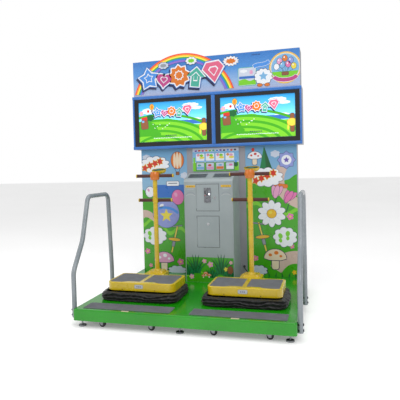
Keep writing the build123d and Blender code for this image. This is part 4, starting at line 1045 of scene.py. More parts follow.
@dataclass
class Base:
    """The green deck, its mats, plates, frame, feet, casters, rails with their plugs, and the button lead."""
    label_x: float = 414.0
    label_y: float = -751.0
    label_z: tuple[float, float] = (141.6, 142.9)
    leg_x: float = 854.2
    leg_y: tuple[float, float] = (-709.0, -11.0)
    leg_r: float = 18.6
    plug_z: tuple[float, float] = (78.0, 118.0)
    plug: tuple[float, float, float] = (0.4, 7.5, 7.6)
    lead_r: float = 0.0045
    lead_length: float = 0.488
    gland: tuple[tuple[float, float], ...] = ((5.0, 0), (10.4, 0), (11, 0.6), (11, 7.4), (10.4, 8), (7.6, 8.4),
                                              (7.6, 14),
                                              (6.4, 16), (5.0, 16))

    def finish(self) -> None:
        """Dress the carried-over nodes."""
        dress(Shop.GELCOAT.value, "deck_shell", "rear_base_shell")
        dress(Shop.FRAME.value, "deck_frame", "guide_bases")
        dress(Shop.MAT.value, "step_mats")
        dress(Shop.ZINC.value, "levelling_feet")
        dress(Shop.BLACK_BOLT.value, "frame_bolts")
        dress(Shop.RAIL.value, "handrail_left", "handrail_right")
        for place in ("outer_left", "inner_left", "inner_right", "outer_right"):
            dress(Shop.ZINC.value, f"caster_fork_{place}")
            dress(Shop.WHEEL.value, f"caster_wheel_{place}")
        dress(Shop.WHEEL.value, "rear_wheels")
        LOG.info("base dressed")

    def labels(self) -> Piece:
        """Two small blank plates on the deck's top, one ahead of each mat: a card outline lifted to a thin prism.

        Returns:
            The piece.
        """
        parts = []
        for side in (-1, 1):
            ring = card(side * self.label_x, self.label_y, 58, 17, 3)
            count = len(ring)
            levels = np.repeat(self.label_z, count)[:, None]
            points = np.hstack([np.vstack([ring, ring]), levels])
            around = np.arange(count)
            walls = np.stack([around, np.roll(around, -1), np.roll(around, -1) + count, around + count], axis=1)
            parts.append((points, walls.tolist() + [list(range(count))[::-1], list(range(count, 2 * count))]))
        return make_piece("deck_labels", parts, ink("cream"), "cabinet", smooth=False)

    def rail_plugs(self) -> Piece:
        """Black domed plug caps on the inner front of every rail leg.

        Returns:
            The piece.
        """
        spots = []
        for side in (-1, 1):
            way = (-side * 0.6, -0.8, 0.0)
            spots += [((side * self.leg_x + self.leg_r * way[0], y + self.leg_r * way[1], z), way)
                      for y in self.leg_y for z in self.plug_z]
        caps = domes(self.plug, 3.4, 1.5, 7, spots, 20)
        return make_piece("rail_plugs", caps, Shop.BLACK_ABS.value, "cabinet")

    def lead(self) -> None:
        """The button lead: a smooth spline through the route from the column's gland to the deck's, and the glands."""
        route = ((0.262, 0.601, 0.232), (0.262, 0.550, 0.232), (0.288, 0.495, 0.224), (0.317, 0.435, 0.211),
                 (0.348, 0.370, 0.205), (0.374, 0.305, 0.212), (0.390, 0.250, 0.220), (0.395, 0.218, 0.204),
                 (0.395, 0.196, 0.170), (0.395, 0.196, 0.136))
        curve = bpy.data.curves.new("button_lead", "CURVE")
        curve.dimensions = "3D"
        curve.bevel_depth = self.lead_r
        curve.bevel_resolution = 5
        curve.use_fill_caps = True
        line = curve.splines.new("NURBS")
        line.points.add(len(route) - 1)
        line.points.foreach_set("co", [value for point in route for value in (*point, 1.0)])
        line.order_u = 3
        line.use_endpoint_u = True
        line.resolution_u = 12
        curve.materials.append(Shop.CABLE.value.material())
        lead = bpy.data.objects.new("button_lead", curve)
        bpy.context.scene.collection.objects.link(lead)
        parts = [lathe(self.gland, (262.0, 595.0, 232.0), (0, -1, 0), 24, ring=True),
                 lathe(self.gland, (395.0, 196.0, 142.0), (0, 0, 1), 24, ring=True)]
        glands = make_piece("lead_glands", parts, Shop.BLACK_ABS.value, "cabinet")
        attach(lead, "cabinet")
        for piece in (lead, glands):
            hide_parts("button_cable")


@dataclass
class Bellows:
    """The creased cloth gaiter between the deck and a jump tray."""
    half_w: float = 317.0
    half_d: float = 223.0
    middle_y: float = -281.0
    low_z: float = 142.6
    high_z: float = 211.4
    corner: float = 78.0
    folds: float = 3.0
    depth: float = 13.0
    around: int = 420
    up: int = 54
    wall: float = 24.0
    keep: float = 0.325
    flat: tuple[float, float] = (2.10, 0.105)

    def build(self, word: str) -> Piece:
        """Carry a folded wall round a soft rectangle.

        The outward offset is a bulge sin(pi*t) minus a fold wave |sin| whose phase drifts round the loop, plus
        slow uneven sags; the wall returns inside to the bottom, so the ring is closed.

        Args:
            word: "left" or "right".

        Returns:
            The cloth piece.
        """
        side = SIDES[word]
        loop, normal = rounded_loop(self.half_w, self.half_d, self.corner, self.around)
        s = np.linspace(0, 2 * math.pi, self.around, endpoint=False)[None, :]
        t = np.linspace(0, 1, self.up)[:, None]
        drift = (0.8 * np.sin(2 * s + side) + 0.6 * np.sin(5 * s + 1.7) + 0.45 * np.sin(9 * s + 0.4 * side)
                 + 0.25 * np.sin(17 * s + 2 * side))
        wave = np.abs(np.sin(math.pi * (self.folds * t + 0.28 * drift))) ** 0.7
        crease = 0.5 * np.sin(23 * s + 9 * t + side) + 0.5 * np.sin(41 * s - 14 * t + 2 * side)
        ends = np.clip(np.minimum(t, 1 - t) * 9, 0, 1)
        bulge = 13.0 * np.sin(math.pi * t ** 0.8) + 5.0 * np.sin(3 * s + 2 * side) * t * (1 - t) * 4
        out = bulge + ends * (self.depth * (wave - 0.75) + 1.8 * crease * (0.4 + wave))
        lean = -3.0 * t - 24.0 * np.clip((t - 0.88) / 0.12, 0, 1) ** 2
        wide = (out + lean)[..., None] * normal[None]
        height = self.low_z + (self.high_z - self.low_z) * t
        height = height + ends * (3.4 * np.sin(4 * s + 5 * t + side) + 2.2 * np.sin(9 * s - 4 * t) + 1.6 * crease)
        height = np.clip(height, self.low_z, self.high_z)
        outer = np.concatenate([loop[None] + wide, height[..., None]], axis=2)
        back = np.linspace(1, 0, 6)[:, None, None]
        inner_xy = np.broadcast_to((loop - normal * self.wall)[None], (6, self.around, 2))
        inner_z = np.broadcast_to(self.low_z + (self.high_z - self.low_z) * back, (6, self.around, 1))
        inner = np.concatenate([inner_xy, inner_z], axis=2)
        points = np.concatenate([outer, inner]) + (side * UNIT_X, self.middle_y, 0)
        faces = grid_faces(len(points), self.around, True, True)[:, ::-1].tolist()
        made = make_piece(f"bellows_cloth_{word}", [(points.reshape(-1, 3), faces)], Shop.CLOTH.value, "cabinet")
        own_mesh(made)
        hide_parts(f"bellows_{word}")
        return made


@dataclass
class Springs:
    """The four coil springs under a tray."""
    dx: float = 215.0
    dy: float = 95.0
    middle_y: float = -255.0
    low_z: float = 125.8
    high_z: float = 262.2
    radius: float = 26.5
    wire: float = 3.5
    turns: int = 7
    round_steps: int = 10
    foot_z: float = 122.0
    keep: float = 0.68

    def build(self, word: str) -> Piece:
        """Carry a circle along a helix: centre = radius*(cos, sin)(turns*t), rising evenly.

        Args:
            word: "left" or "right".

        Returns:
            The piece.
        """
        side = SIDES[word]
        t = np.linspace(0, 1, self.turns * 24 + 1)
        angle = 2 * math.pi * self.turns * t
        path = np.stack([self.radius * np.cos(angle), self.radius * np.sin(angle),
                         self.low_z + (self.high_z - self.low_z) * t], axis=1)
        ring = np.linspace(0, 2 * math.pi, self.round_steps, endpoint=False)
        outward = np.stack([np.cos(angle), np.sin(angle), np.zeros_like(angle)], axis=1)
        upward = np.array([0.0, 0.0, 1.0])
        wall = (path[:, None] + self.wire * (np.cos(ring)[None, :, None] * outward[:, None]
                                             + np.sin(ring)[None, :, None] * upward)).reshape(-1, 3)
        first = np.arange(self.round_steps)
        faces = grid_faces(len(t), self.round_steps, False, True).tolist()
        faces += [first.tolist(), (first + len(wall) - self.round_steps)[::-1].tolist()]
        parts = [(wall + (side * UNIT_X + a * self.dx, self.middle_y + b * self.dy, 0), faces)
                 for a in (-1, 1) for b in (-1, 1)]
        made = make_piece(f"coil_springs_{word}", parts, Shop.SPRING.value, "cabinet")
        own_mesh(made)
        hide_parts(f"springs_{word}")
        return made


@dataclass
class JumpUnit:
    """One player's tray, pads, post, hub, bowl and button."""
    word: str
    post_y: float = 9.0
    tray_front: float = -430.0
    grip_r: float = 15.0
    bar_r: float = 11.2
    low_bar: tuple[float, float, float] = (917.0, 147.5, 25.0)
    high_bar: tuple[float, float, float] = (1132.0, 164.5, 43.0)
    fill: float = 0.95
    bowl_r: float = 61.6
    bowl_back: float = 120.0
    bowl_z: float = 1153.0
    tilt: float = 10.0

    def finish(self) -> None:
        """Dress the carried-over nodes of this unit."""
        word = self.word
        dress(Shop.YELLOW.value, f"tray_{word}", f"start_bowl_{word}")
        dress(Shop.MAT.value, f"foot_pads_{word}")
        dress(Shop.GROUND.value, f"guide_rods_{word}")
        dress(Shop.POST.value, f"post_{word}")
        dress(Shop.ORANGE.value, f"hub_{word}")
        dress(Shop.GREEN_BUTTON.value, f"start_button_{word}")

    def grips(self) -> Piece:
        """Four foam sleeves, each turned from a profile with rounded ends and shallow finger rings.

        Returns:
            The piece.
        """
        x = SIDES[self.word] * UNIT_X
        parts = []
        for z, outer, inner in (self.low_bar, self.high_bar):
            length = outer - inner
            along = np.linspace(0, length, 60)
            edge = np.minimum(along, length - along)
            rise = self.grip_r - 2.2 * np.exp(-edge / 1.6) + 0.35 * np.sin(along * 2 * math.pi / 9.0)
            body = np.stack([np.minimum(rise, self.grip_r + 0.3), along], axis=1)
            profile = np.vstack([[(self.bar_r, 0)], body, [(self.bar_r, length)]])
            for end in (-1, 1):
                parts.append(lathe(profile, (x + end * inner, self.post_y, z), (end, 0, 0), 28, ring=True))
        made = make_piece(f"foam_grips_{self.word}", parts, Shop.FOAM.value, f"jump_{self.word}")
        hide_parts(f"grips_{self.word}")
        return made

    def disc(self) -> Piece:
        """The black ring plate that fills the bowl round the green button, with a raised inner rim.

        Returns:
            The piece.
        """
        t = math.radians(self.tilt)
        up = (0.0, -math.sin(t), math.cos(t))
        origin = (SIDES[self.word] * UNIT_X, self.post_y + self.bowl_back, self.bowl_z)
        profile = ((self.bowl_r, 26.5), (self.bowl_r, 28.2), (60, 29.0), (56, 29.6), (50, 30.0), (38, 30.2), (36, 32.0),
                   (32.5, 32.4), (30.4, 31.5), (30.4, 26.5))
        return make_piece(f"bowl_disc_{self.word}", [lathe(profile, origin, up, 48, ring=True)], Shop.BLACK_DISC.value,
                          f"jump_{self.word}")

    def badge(self) -> None:
        """The silver badge on the tray's front wall, with three plain bars, and the tray's edge screws."""
        x = SIDES[self.word] * UNIT_X
        sheet = PrintSheet(f"tray_badge_{self.word}", self.tray_front, (x - 290, x + 290, 214, 276),
                           f"jump_{self.word}", "lock_chrome", step=0.5)
        sheet.add(card(x - 6, 248, 74, 32, 9), "grey", 1)
        sheet.add(card(x - 6, 248, 70, 28, 8), "silver", 2)
        for dx in (-14, 0, 14):
            sheet.add(card(x - 6 + dx, 248, 9, 7, 2), "navy", 3)
        for dx in (-150, 130):
            sheet.add(ellipse(x + dx, 222, 4, 4), "brown", 3)
            sheet.add(ellipse(x + dx, 222, 2, 2), "black", 4)
        sheet.build()


@dataclass
class Tower:
    """The printed lower boards, the column, the board of picture steps and the back."""
    face_y: float = 596.0
    top: float = 1388.0
    bottom: float = 142.0
    inner: float = 293.0
    outer: float = 770.0
    slat_x: tuple[float, ...] = (-420.0, 0.0, 420.0)
    slat_z: float = 1720.0
    slat_pitch: float = 26.0
    slats: int = 9
    slat_half: float = 105.0
    slat_r: float = 9.0
    screw: tuple[float, float, float] = (0.3, 6.0, 6.4)

    def finish(self) -> None:
        """Dress the carried-over nodes."""
        dress(Shop.BOARD.value, "tower_shell", "upper_cabinet", "service_door")
        dress(Shop.PANEL.value, "printed_panels")
        dress(Shop.CASE.value, "electronics")
        dress(Shop.BLACK_ABS.value, "power_switch")

    def back_details(self) -> None:
        """Louvres and screws on the back: long spindles flattened against the panel, and rows of low domes."""
        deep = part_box("upper_cabinet")[1][1] / MM
        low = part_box("tower_shell")[1][1] / MM
        along = np.linspace(-1, 1, 17)
        swell = 0.3 + (self.slat_r - 0.3) * np.sqrt(np.clip(1 - along ** 6, 0, 1))
        points, faces = lathe(np.stack([swell, self.slat_half * along], axis=1), (0, 0, 0), (1, 0, 0), 14)
        slats = [(points * (1, 0.62, 1) + (x, deep, self.slat_z + self.slat_pitch * k), faces)
                 for x in self.slat_x for k in range(self.slats)]
        make_piece("back_louvres", slats, Shop.BLACK_ABS.value, "cabinet")
        spots = [(x, deep, z) for x in np.linspace(-800, 800, 9) for z in (1440.0, 2220.0)]
        spots += [(side * 800, deep, z) for side in (-1, 1) for z in np.linspace(1570, 2090, 5)]
        spots += [(side * 735, low, z) for side in (-1, 1) for z in np.linspace(200, 1340, 8)]
        screws = domes(self.screw, 2.6, 1.0, 5, [(spot, (0, 1, 0)) for spot in spots], 12)
        make_piece("back_screws", screws, Shop.BLACK_BOLT.value, "cabinet")

    def left_art(self) -> None:
        """The left board: a lake, hills, balloons, stars, a ball over a spring stick, a mushroom and flowers."""
        sheet = PrintSheet("left_board_art", self.face_y, (-self.outer, -self.inner, self.bottom + 1, self.top - 1))
        sheet.add(card(-470, 965, 300, 130, 2), "lake", 0.4)
        sheet.add(hill(-771, -290, 142, (985, 930, 880, 850, 835, 870)), "grass", 1)
        sheet.add(hill(-771, -290, 142, (640, 700, 640, 560, 620, 560)), "lime", 1.6)
        sheet.add(hill(-771, -290, 142, (600, 665, 600, 520, 580, 520)), "grass", 2.2)
        sheet.add(ribbon([(-790, 720), (-720, 735), (-650, 690), (-600, 640)], 84, 0.5), "path", 2.8)
        sheet.add(lobed(-719, 1312, 44, 28, 6), "cloud", 1)
        sheet.add(lobed(-318, 1120, 46, 34, 6), "cloud", 1)
        sheet.sticker(lobed(-630, 1236, 158, 86, 11, 0.16), "white", 3)
        sheet.star_row(-632, 1232, 36, (80, 20), ((-104, -28), (-50, -4), (4, 16), (58, 34)), 4.2)
        sheet.balloon(-390, 1273, 66, 84, ("orange", "cream"), 3)
        sheet.sticker(card(-444, 1042, 128, 44, 10), "white", 3)
        sheet.add(card(-444, 1044, 96, 12, 5), "grey", 4.2)
        sheet.sticker(ellipse(-395, 905, 62, 74), "pink", 3)
        sheet.add(ellipse(-414, 930, 16, 22, 20), "rose", 4.2)
        sheet.add(ribbon([(-395, 831), (-404, 800), (-388, 768)], 4), "navy", 3)
        sheet.sticker(ellipse(-690, 960, 46, 54), "white", 3)
        sheet.add(ellipse(-704, 978, 12, 16, 20), "rose", 4.2)
        sheet.pogo(-440, 480, 150, 14, 5)
        sheet.sticker(ellipse(-522, 738, 138, 140), "lilac", 5)
        sheet.add(ribbon([(-652, 772), (-560, 800), (-470, 790), (-396, 742)], 26), "blue", 6.2)
        sheet.add(spiked(-520, 720, 70, 70, 5, 0.55), "lemon", 6.2)
        sheet.add(ellipse(-568, 820, 24, 16, 30), "white", 6.2)
        sheet.sticker(lobed(-648, 514, 128, 92, 9, 0.16), "white", 3.6)
        sheet.footprints(-652, 528, ((-52, 8, 20), (14, -8, -10)), 4.9)
        sheet.mushroom(-556, 262, 104, "rose", "white", 4)
        for x, z, r in ((-730, 355, 30), (-382, 255, 36), (-700, 210, 22)):
            sheet.flower(x, z, r, "pink", 4)
        sheet.sticker(lobed(-420, 170, 96, 46, 8), "cloud", 4)
        sheet.fringe(-760, -300, 22)
        sheet.build()

    def right_art(self) -> None:
        """The right board: a pine, hills, paths, stars, a daisy over a spring stick, tulips and mushrooms."""
        sheet = PrintSheet("right_board_art", self.face_y, (self.inner, self.outer, self.bottom + 1, self.top - 1))
        sheet.add(hill(290, 771, 142, (1130, 1080, 1010, 1000, 1060, 1110)), "grass", 1)
        sheet.add(hill(290, 771, 142, (830, 860, 800, 700, 760, 800)), "lime", 1.6)
        sheet.add(hill(290, 771, 142, (795, 825, 765, 660, 720, 765)), "grass", 2.2)
        sheet.add(ribbon([(640, 1180), (606, 1060), (650, 930), (800, 830)], 92), "path", 2.8)
        sheet.sticker(card(620, 1006, 128, 34, 14, -8), "orange", 3.4, 3, "brown")
        sheet.add(ribbon([(560, 210), (640, 300), (720, 330), (800, 330)], 120), "path", 2.8)
        sheet.add(np.array([(470, 1385), (545, 1160), (425, 1160)], float), "pine", 2.8)
        sheet.add(np.array([(470, 1385), (545, 1160), (486, 1160)], float), "leaf", 3.2)
        sheet.add(lobed(573, 1306, 46, 34, 6), "cloud", 1)
        sheet.mushroom(380, 1276, 68, "white", "red", 3)
        sheet.add(ellipse(366, 1352, 15, 17), "red", 5.6)
        sheet.sticker(spiked(676, 1246, 84, 84, 8, 0.22), "lilac", 3.2)
        sheet.add(ellipse(676, 1246, 46, 46), "white", 4.6)
        sheet.add(spiked(676, 1246, 30, 30, 5, 0.5), "violet", 5.2)
        sheet.sticker(lobed(486, 1088, 160, 92, 11, 0.16), "white", 4)
        sheet.star_row(484, 1092, 34, (70, 25), ((-98, -36), (-44, -14), (12, 10), (68, 34)), 5.2)
        sheet.pogo(440, 520, 155, -14, 5)
        sheet.sticker(lobed(530, 742, 132, 128, 10, 0.26), "white", 5)
        for k in range(10):
            angle = k * math.pi / 5
            spot = ((530, 742), (530 + 84 * math.cos(angle), 742 + 82 * math.sin(angle)))
            sheet.add(ribbon(spot, 5, 0.5), "cloud", 6.2)
        sheet.sticker(ellipse(530, 742, 44, 42), "yellow", 6.6, 3)
        sheet.add(ellipse(520, 754, 18, 14, 20), "lemon", 8)
        for x, z, turn, colour in ((578, 948, -14, "rose"), (694, 900, -34, "pink")):
            sheet.add(ribbon([(x, z - 60), (x - 30, z - 150)], 9), "leaf", 4)
            for lean in (-22, 22, 0):
                sheet.sticker(ellipse(x + lean * 0.9, z, 24, 62, turn - lean), colour, 4.4 + (lean == 0) * 1.2, 3)
        sheet.sticker(lobed(652, 521, 112, 96, 9, 0.16), "white", 4)
        sheet.footprints(652, 536, ((-44, -4, 20), (24, 18, -10)), 5.2)
        sheet.mushroom(556, 316, 104, "cream", "orange", 4)
        for x, z, r, colour in ((702, 715, 34, "pink"), (713, 435, 24, "pink"), (371, 314, 28, "pink"),
                                (731, 189, 22, "yellow")):
            sheet.flower(x, z, r, colour, 4)
        sheet.sticker(lobed(400, 196, 84, 52, 8), "cloud", 4)
        sheet.fringe(310, 770, 20)
        sheet.build()

    def steps_board(self) -> None:
        """The picture board: a coloured heading, a row of pale pictures and a row in green frames."""
        sheet = PrintSheet("picture_steps_art", self.face_y - 6.0, (-229, 229, 1158, 1383))
        sheet.add(card(0, 1270.5, 458, 225, 6), "cloud", 0)
        sheet.add(card(0, 1300, 456, 100, 6), "sky", 0.4)
        sheet.add(card(0, 1200, 456, 84, 6), "lime", 0.4)
        heads = ("violet", "red", "magenta", "orange", "lime", "teal", "blue", "violet", "navy", "blue", "red", "navy")
        for k, colour in enumerate(heads):
            sheet.sticker(card(-196 + 35.5 * k, 1357 + 2 * (k % 2), 24, 17, 6, 6 - 3 * (k % 4)), colour, 2, 2.5,
                          "white")
        for k in range(4):
            x = -152 + 98 * k
            sheet.add(card(x, 1296, 84, 70, 8), "white", 1)
            sheet.add(ellipse(x + 16, 1290, 26, 11), "lemon", 2)
            sheet.flower(x - 20, 1316, 15, "pink" if k < 3 else "orange", 2)
            sheet.add(lobed(x + 12, 1312, 20, 13, 6), "lime" if k < 3 else "rose", 2.2)
            sheet.add(card(x, 1205, 90, 82, 4), "pine", 1)
            sheet.add(card(x, 1205, 76, 68, 4), "cloud", 2)
            sheet.add(card(x, 1190, 70, 26, 4), ("sky", "rose", "orange", "white")[k], 3)
            sheet.add(ellipse(x - 10 + 6 * k, 1216, 18, 10), ("teal", "red", "sky", "pink")[k], 3)
        sheet.add(lobed(200, 1220, 22, 26, 6), "leaf", 3)
        sheet.add(ellipse(200, 1246, 10, 10), "blue", 4)
        sheet.add(card(-214, 1230, 18, 130, 8), "lime", 2)
        sheet.build()


@dataclass
class Screens:
    """The blue surround, the bezels and the two lit displays with their landscape."""
    x: float = 418.0
    z: float = 1659.3
    half_w: float = 349.0
    half_h: float = 196.2
    glass_y: float = 549.0

    def finish(self) -> None:
        """Dress the carried-over nodes."""
        dress(Shop.BLUE.value, "monitor_frame")
        dress(Shop.BEZEL.value, "screen_bezels")
        dress(Shop.SCREEN.value, "displays")

    def picture(self, word: str) -> None:
        """The lit picture: clouds, a striped hill, a hut, balloons, title icons and a line of plain marks.

        Args:
            word: "left" or "right".
        """
        cx = SIDES[word] * self.x
        cz = self.z
        box = (cx - self.half_w, cx + self.half_w, cz - self.half_h, cz + self.half_h)
        sheet = PrintSheet(f"screen_picture_{word}", self.glass_y, box, slot="screen", lit=True)
        for x, z, rx, rz in ((190, 150, 86, 22), (250, 120, 60, 16), (-250, 110, 70, 30), (60, 96, 40, 14),
                             (230, 8, 70, 18), (-60, 70, 50, 14)):
            sheet.add(lobed(cx + x, cz + z, rx, rz, 9, 0.14), "white", 0.4)
        sheet.add(card(cx + 190, cz - 14, 330, 40, 3), "lake", 0.6)
        sheet.add(hill(cx - 350, cx + 350, cz - 200, [cz + v for v in (-30, 4, 22, 30, 8, -22, -40, -34)]), "lime", 1.2)
        for k in range(6):
            radius = 120 + 62 * k
            angle = np.linspace(0.35, 2.5, 5)
            arc = [(cx - 120 + radius * 1.5 * math.cos(a), cz - 300 + radius * 0.86 * math.sin(a)) for a in angle]
            sheet.add(ribbon(arc, 24), "grass", 1.8)
        sheet.add(hill(cx - 350, cx - 120, cz - 140, [cz + v for v in (10, 30, -10, -110)]), "grass", 2.2)
        sheet.add(lobed(cx - 230, cz + 44, 44, 34, 7), "leaf", 2.6)
        sheet.sticker(card(cx - 290, cz - 24, 74, 84, 14, 4), "brown", 3, 3)
        sheet.add(card(cx - 292, cz + 36, 62, 34, 8, 8), "red", 4.2)
        sheet.add(card(cx - 306, cz + 14, 24, 28, 5), "sky", 4.2)
        sheet.flower(cx - 322, cz + 90, 26, "rose", 3)
        sheet.add(ellipse(cx - 250, cz + 110, 12, 14), "red", 3)
        sheet.balloon(cx - 210, cz + 152, 22, 28, ("lemon", "orange"), 3)
        sheet.sticker(card(cx + 322, cz - 70, 36, 170, 12), "brown", 3, 3)
        sheet.sticker(ellipse(cx + 318, cz - 66, 42, 34), "lemon", 4, 3, "orange")
        sheet.add(ellipse(cx + 284, cz - 112, 9, 26), "lemon", 4)
        for k in range(9):
            sheet.flower(cx - 200 + 9 * ((k * 37) % 20), cz - 20 - 8 * ((k * 23) % 7), 5, "white", 2.6)
        title_tiles(sheet, cx - 4, cz + 96, 0.46, 5)
        for k in range(22):
            sheet.add(card(cx - 190 + 18 * k, cz - 160 - 2 * (k % 2), 12, 7, 3), "white", 3)
        for k in range(6):
            sheet.add(card(cx - 64 + 20 * k, cz - 138, 13, 11, 4), "navy", 3)
        sheet.build()


@dataclass
class Header:
    """The printed header board with its rainbow, title icons and round emblem."""
    face_y: float = 547.0
    half_w: float = 815.0

    def finish(self) -> None:
        """Dress the carried-over nodes."""
        dress(Shop.HEADER.value, "marquee_panel")
        dress(Shop.BOW.value, "rainbow_arch")

    def art(self) -> None:
        """The title icons, clouds, a picture card and the emblem; the icons stand in front of the arch."""
        front = PrintSheet("header_tiles", self.face_y - 5.0, (-self.half_w, self.half_w, 1922, 2300),
                           slot="header_print",
                           step=0.4)
        title_tiles(front, -333, 2092, 0.98, 1)
        front.sticker(lobed(-492, 2208, 56, 34, 8), "cloud", 2, 4)
        front.sticker(lobed(-207, 2232, 58, 38, 9), "white", 2, 4)
        front.add(lobed(-207, 2232, 34, 20, 7), "lime", 3.4)
        front.add(lobed(-492, 2208, 34, 18, 7), "grey", 3.4)
        front.build()
        sheet = PrintSheet("header_art", self.face_y, (-self.half_w, self.half_w, 1922, 2263), slot="header_print")
        sheet.sticker(spiked(180, 2196, 82, 50, 13, 0.24), "white", 2)
        sheet.add(spiked(180, 2196, 58, 30, 9, 0.34), "orange", 3.4)
        sheet.sticker(card(333, 2038, 164, 164, 14), "cloud", 2, 5, "teal")
        sheet.add(hill(253, 413, 1960, (2006, 2016, 1996, 2010)), "lime", 3.2)
        sheet.add(card(333, 2030, 152, 24, 3), "lake", 3)
        sheet.add(lobed(300, 2090, 36, 16, 6), "white", 3.2)
        sheet.add(ellipse(372, 2076, 16, 20), "rose", 3.2)
        sheet.sticker(ribbon([(394, 2124), (440, 2138), (490, 2142), (540, 2164)], 34), "blue", 3, 3, "white")
        sheet.sticker(lobed(484, 2026, 84, 76, 12, 0.14), "white", 4, 4)
        sheet.add(spiked(484, 2030, 44, 44, 5, 0.5), "sky", 5.4)
        for side in (-1, 1):
            sheet.sticker(ellipse(484 + 34 * side, 1950, 24, 14), "orange", 5, 3)
        sheet.add(ellipse(684, 2094, 146, 146), "yellow", 2)
        sheet.add(ellipse(684, 2094, 136, 136), "cream", 2.6)
        sheet.add(ellipse(684, 2094, 126, 126), "sky", 3.2)
        sheet.add(clipped(ellipse(684, 2094, 124, 124), (500, 815, 1960, 2060)), "lime", 3.8)
        balloons = ((-50, 60, "rose"), (0, 84, "orange"), (52, 62, "lilac"), (-78, 12, "white"), (78, 10, "lemon"),
                    (-26, 26, "sky"), (28, 28, "pink"))
        for dx, dz, colour in balloons:
            sheet.add(ribbon([(684 + dx, 2094 + dz - 26), (684 + dx * 0.3, 2048)], 2.5), "navy", 4)
            sheet.sticker(ellipse(684 + dx, 2094 + dz, 23, 28), colour, 4.4, 3)
            sheet.add(ellipse(677 + dx, 2104 + dz, 6, 8, 20), "white", 5.6)
        sheet.sticker(card(684, 2040, 60, 30, 8), "brown", 4.4, 3)
        sheet.sticker(ribbon([(582, 2016), (640, 1986), (728, 1986), (786, 2016)], 34), "magenta", 5.4, 3, "white")
        for k in range(6):
            sheet.add(card(384 + 14 * k, 2236, 8, 9, 2), "navy", 1)
        sheet.build()


@dataclass
class CoinCabinet:
    """The grey coin cabinet with its doors, locks, labels and meadow print."""
    face_y: float = 252.0
    half_w: float = 221.0
    door_x: float = -6.0
    doors: tuple[tuple[float, float, float], ...] = ((105.0, 801.0, 1041.0), (102.0, 468.0, 750.0))
    # width of the dark strips painted as the shade in the door gaps
    gap_shade_w: float = 2.6
    insert_y: float = 244.0
    lens: tuple[float, float, float] = (12.0, 243.6, 952.0)

    def finish(self) -> None:
        """Dress the carried-over nodes."""
        dress(Shop.POWDER.value, "coin_cabinet", "coin_door", "cash_door")
        dress(Shop.STAINLESS.value, "coin_mech", "coin_return_flap", "cash_box")
        dress(Shop.CHROME.value, "coin_lock", "cash_lock")
        dress(Shop.GRILLE.value, "speakers")
        dress(Shop.BLACK_ABS.value, "coin_return_button")

    def meadow(self) -> None:
        """Grass, tufts, flowers and mushrooms across the foot of the front, with two label strips above."""
        sheet = PrintSheet("meadow_print", self.face_y, (-self.half_w, self.half_w, 143, 1060), slot="cabinet_white")
        sheet.add(hill(-222, 222, 143, (372, 374, 373, 372)), "grass", 0)
        sheet.add(hill(-222, 222, 143, (210, 250, 200, 240, 190)), "lime", 0.4)
        sheet.add(hill(-222, 222, 143, (192, 236, 186, 222, 178)), "grass", 0.8)
        tufts = ((-132, 226, 176, 30), (108, 220, 190, 32), (-196, 206, 110, 20), (24, 186, 96, 16),
                 (176, 180, 110, 20))
        for x, z, height, lean in tufts:
            for k in (-4, 4, -2, 2, -3, 3, -1, 1, 0):
                tall = height * (1 - 0.1 * abs(k) + 0.08 * (k % 2))
                sheet.sticker(blade(x + 8 * k, z, tall, lean * k * 0.8, 27), ("pine", "leaf")[k % 2],
                              1.4 + 0.06 * abs(k),
                              2, "leaf")
        for x, z, r in ((-49, 338, 22), (6, 308, 28), (-172, 192, 24), (196, 330, 18)):
            sheet.flower(x, z, r, "rose", 2.4)
        for x, z, r in ((-40, 222, 22), (-8, 206, 20), (-62, 200, 18)):
            sheet.mushroom(x, z, r, "orange", "white", 2.6)
        sheet.flower(150, 268, 20, "lemon", 2.4)
        sheet.sticker(lobed(190, 262, 28, 38, 7), "brown", 2.4, 3)
        for side in (-1, 1):
            x = side * 166
            sheet.add(card(x, 1024, 92, 20, 4), "yellow", 1)
            for k in range(4):
                sheet.add(card(x - 24 + 16 * k, 1024, 9, 6, 2), "navy", 2)
            sheet.add(card(x, 1000, 60, 4, 1.5), "silver", 1)
            sheet.add(ribbon([(x - 42, 948), (x - 16, 968), (x + 16, 968), (x + 42, 948)], 4), "grey", 1)
            sheet.add(ribbon([(x - 42, 938), (x - 16, 950), (x + 16, 950), (x + 42, 938)], 3), "silver", 1)
        sheet.build()

    def paint_door_gap_shade(self) -> None:
        """Painted shade in the door gaps: four thin dark strips round each door, just outside its edge, standing in for
        the gap's shadow.
        """
        sheet = PrintSheet("painted_door_gap_shade", self.face_y, (-self.half_w, self.half_w, 143, 1060), slot="reject_black")
        gap = self.gap_shade_w - 0.2
        for half, low, high in self.doors:
            middle = (low + high) / 2
            for side in (-1, 1):
                # painted shade: dark strips where only the shadow of the door gap falls
                sheet.add(card(self.door_x + side * (half + gap), middle, self.gap_shade_w, high - low + 7, 0.6), "black", 1)
                edge = middle + side * ((high - low) / 2 + gap)
                sheet.add(card(self.door_x, edge, 2 * half + 7, self.gap_shade_w, 0.6), "black", 1)
        sheet.build()

    def coin_face(self) -> None:
        """The coin mechanism's dark insert, its pictograms and the lit lens by the slot."""
        sheet = PrintSheet("coin_face_print", self.insert_y, (-36, 24, 876, 1008), "coin_door", "reject_black",
                           step=0.3)
        sheet.add(card(12, 968, 12, 30, 3), "grey", 1)
        sheet.add(card(-26, 968, 10, 30, 3), "black", 1)
        sheet.add(ellipse(-26, 940, 4, 4), "red", 2)
        sheet.build()
        # A lit lens: clear polycarbonate over a white lamp, brighter than the displays.
        glow = Finish("lit_white_lens", "#e8eeff", "#ffffff", roughness=0.1, glow=3.0)
        bulb = lathe(((0.01, 0), (7, 0), (7, 2), (5, 4), (0.01, 5)), self.lens, (0, -1, 0), 24)
        make_piece("coin_lens", [bulb], glow, "coin_door")


# ------------------------------------------------------------------ stage

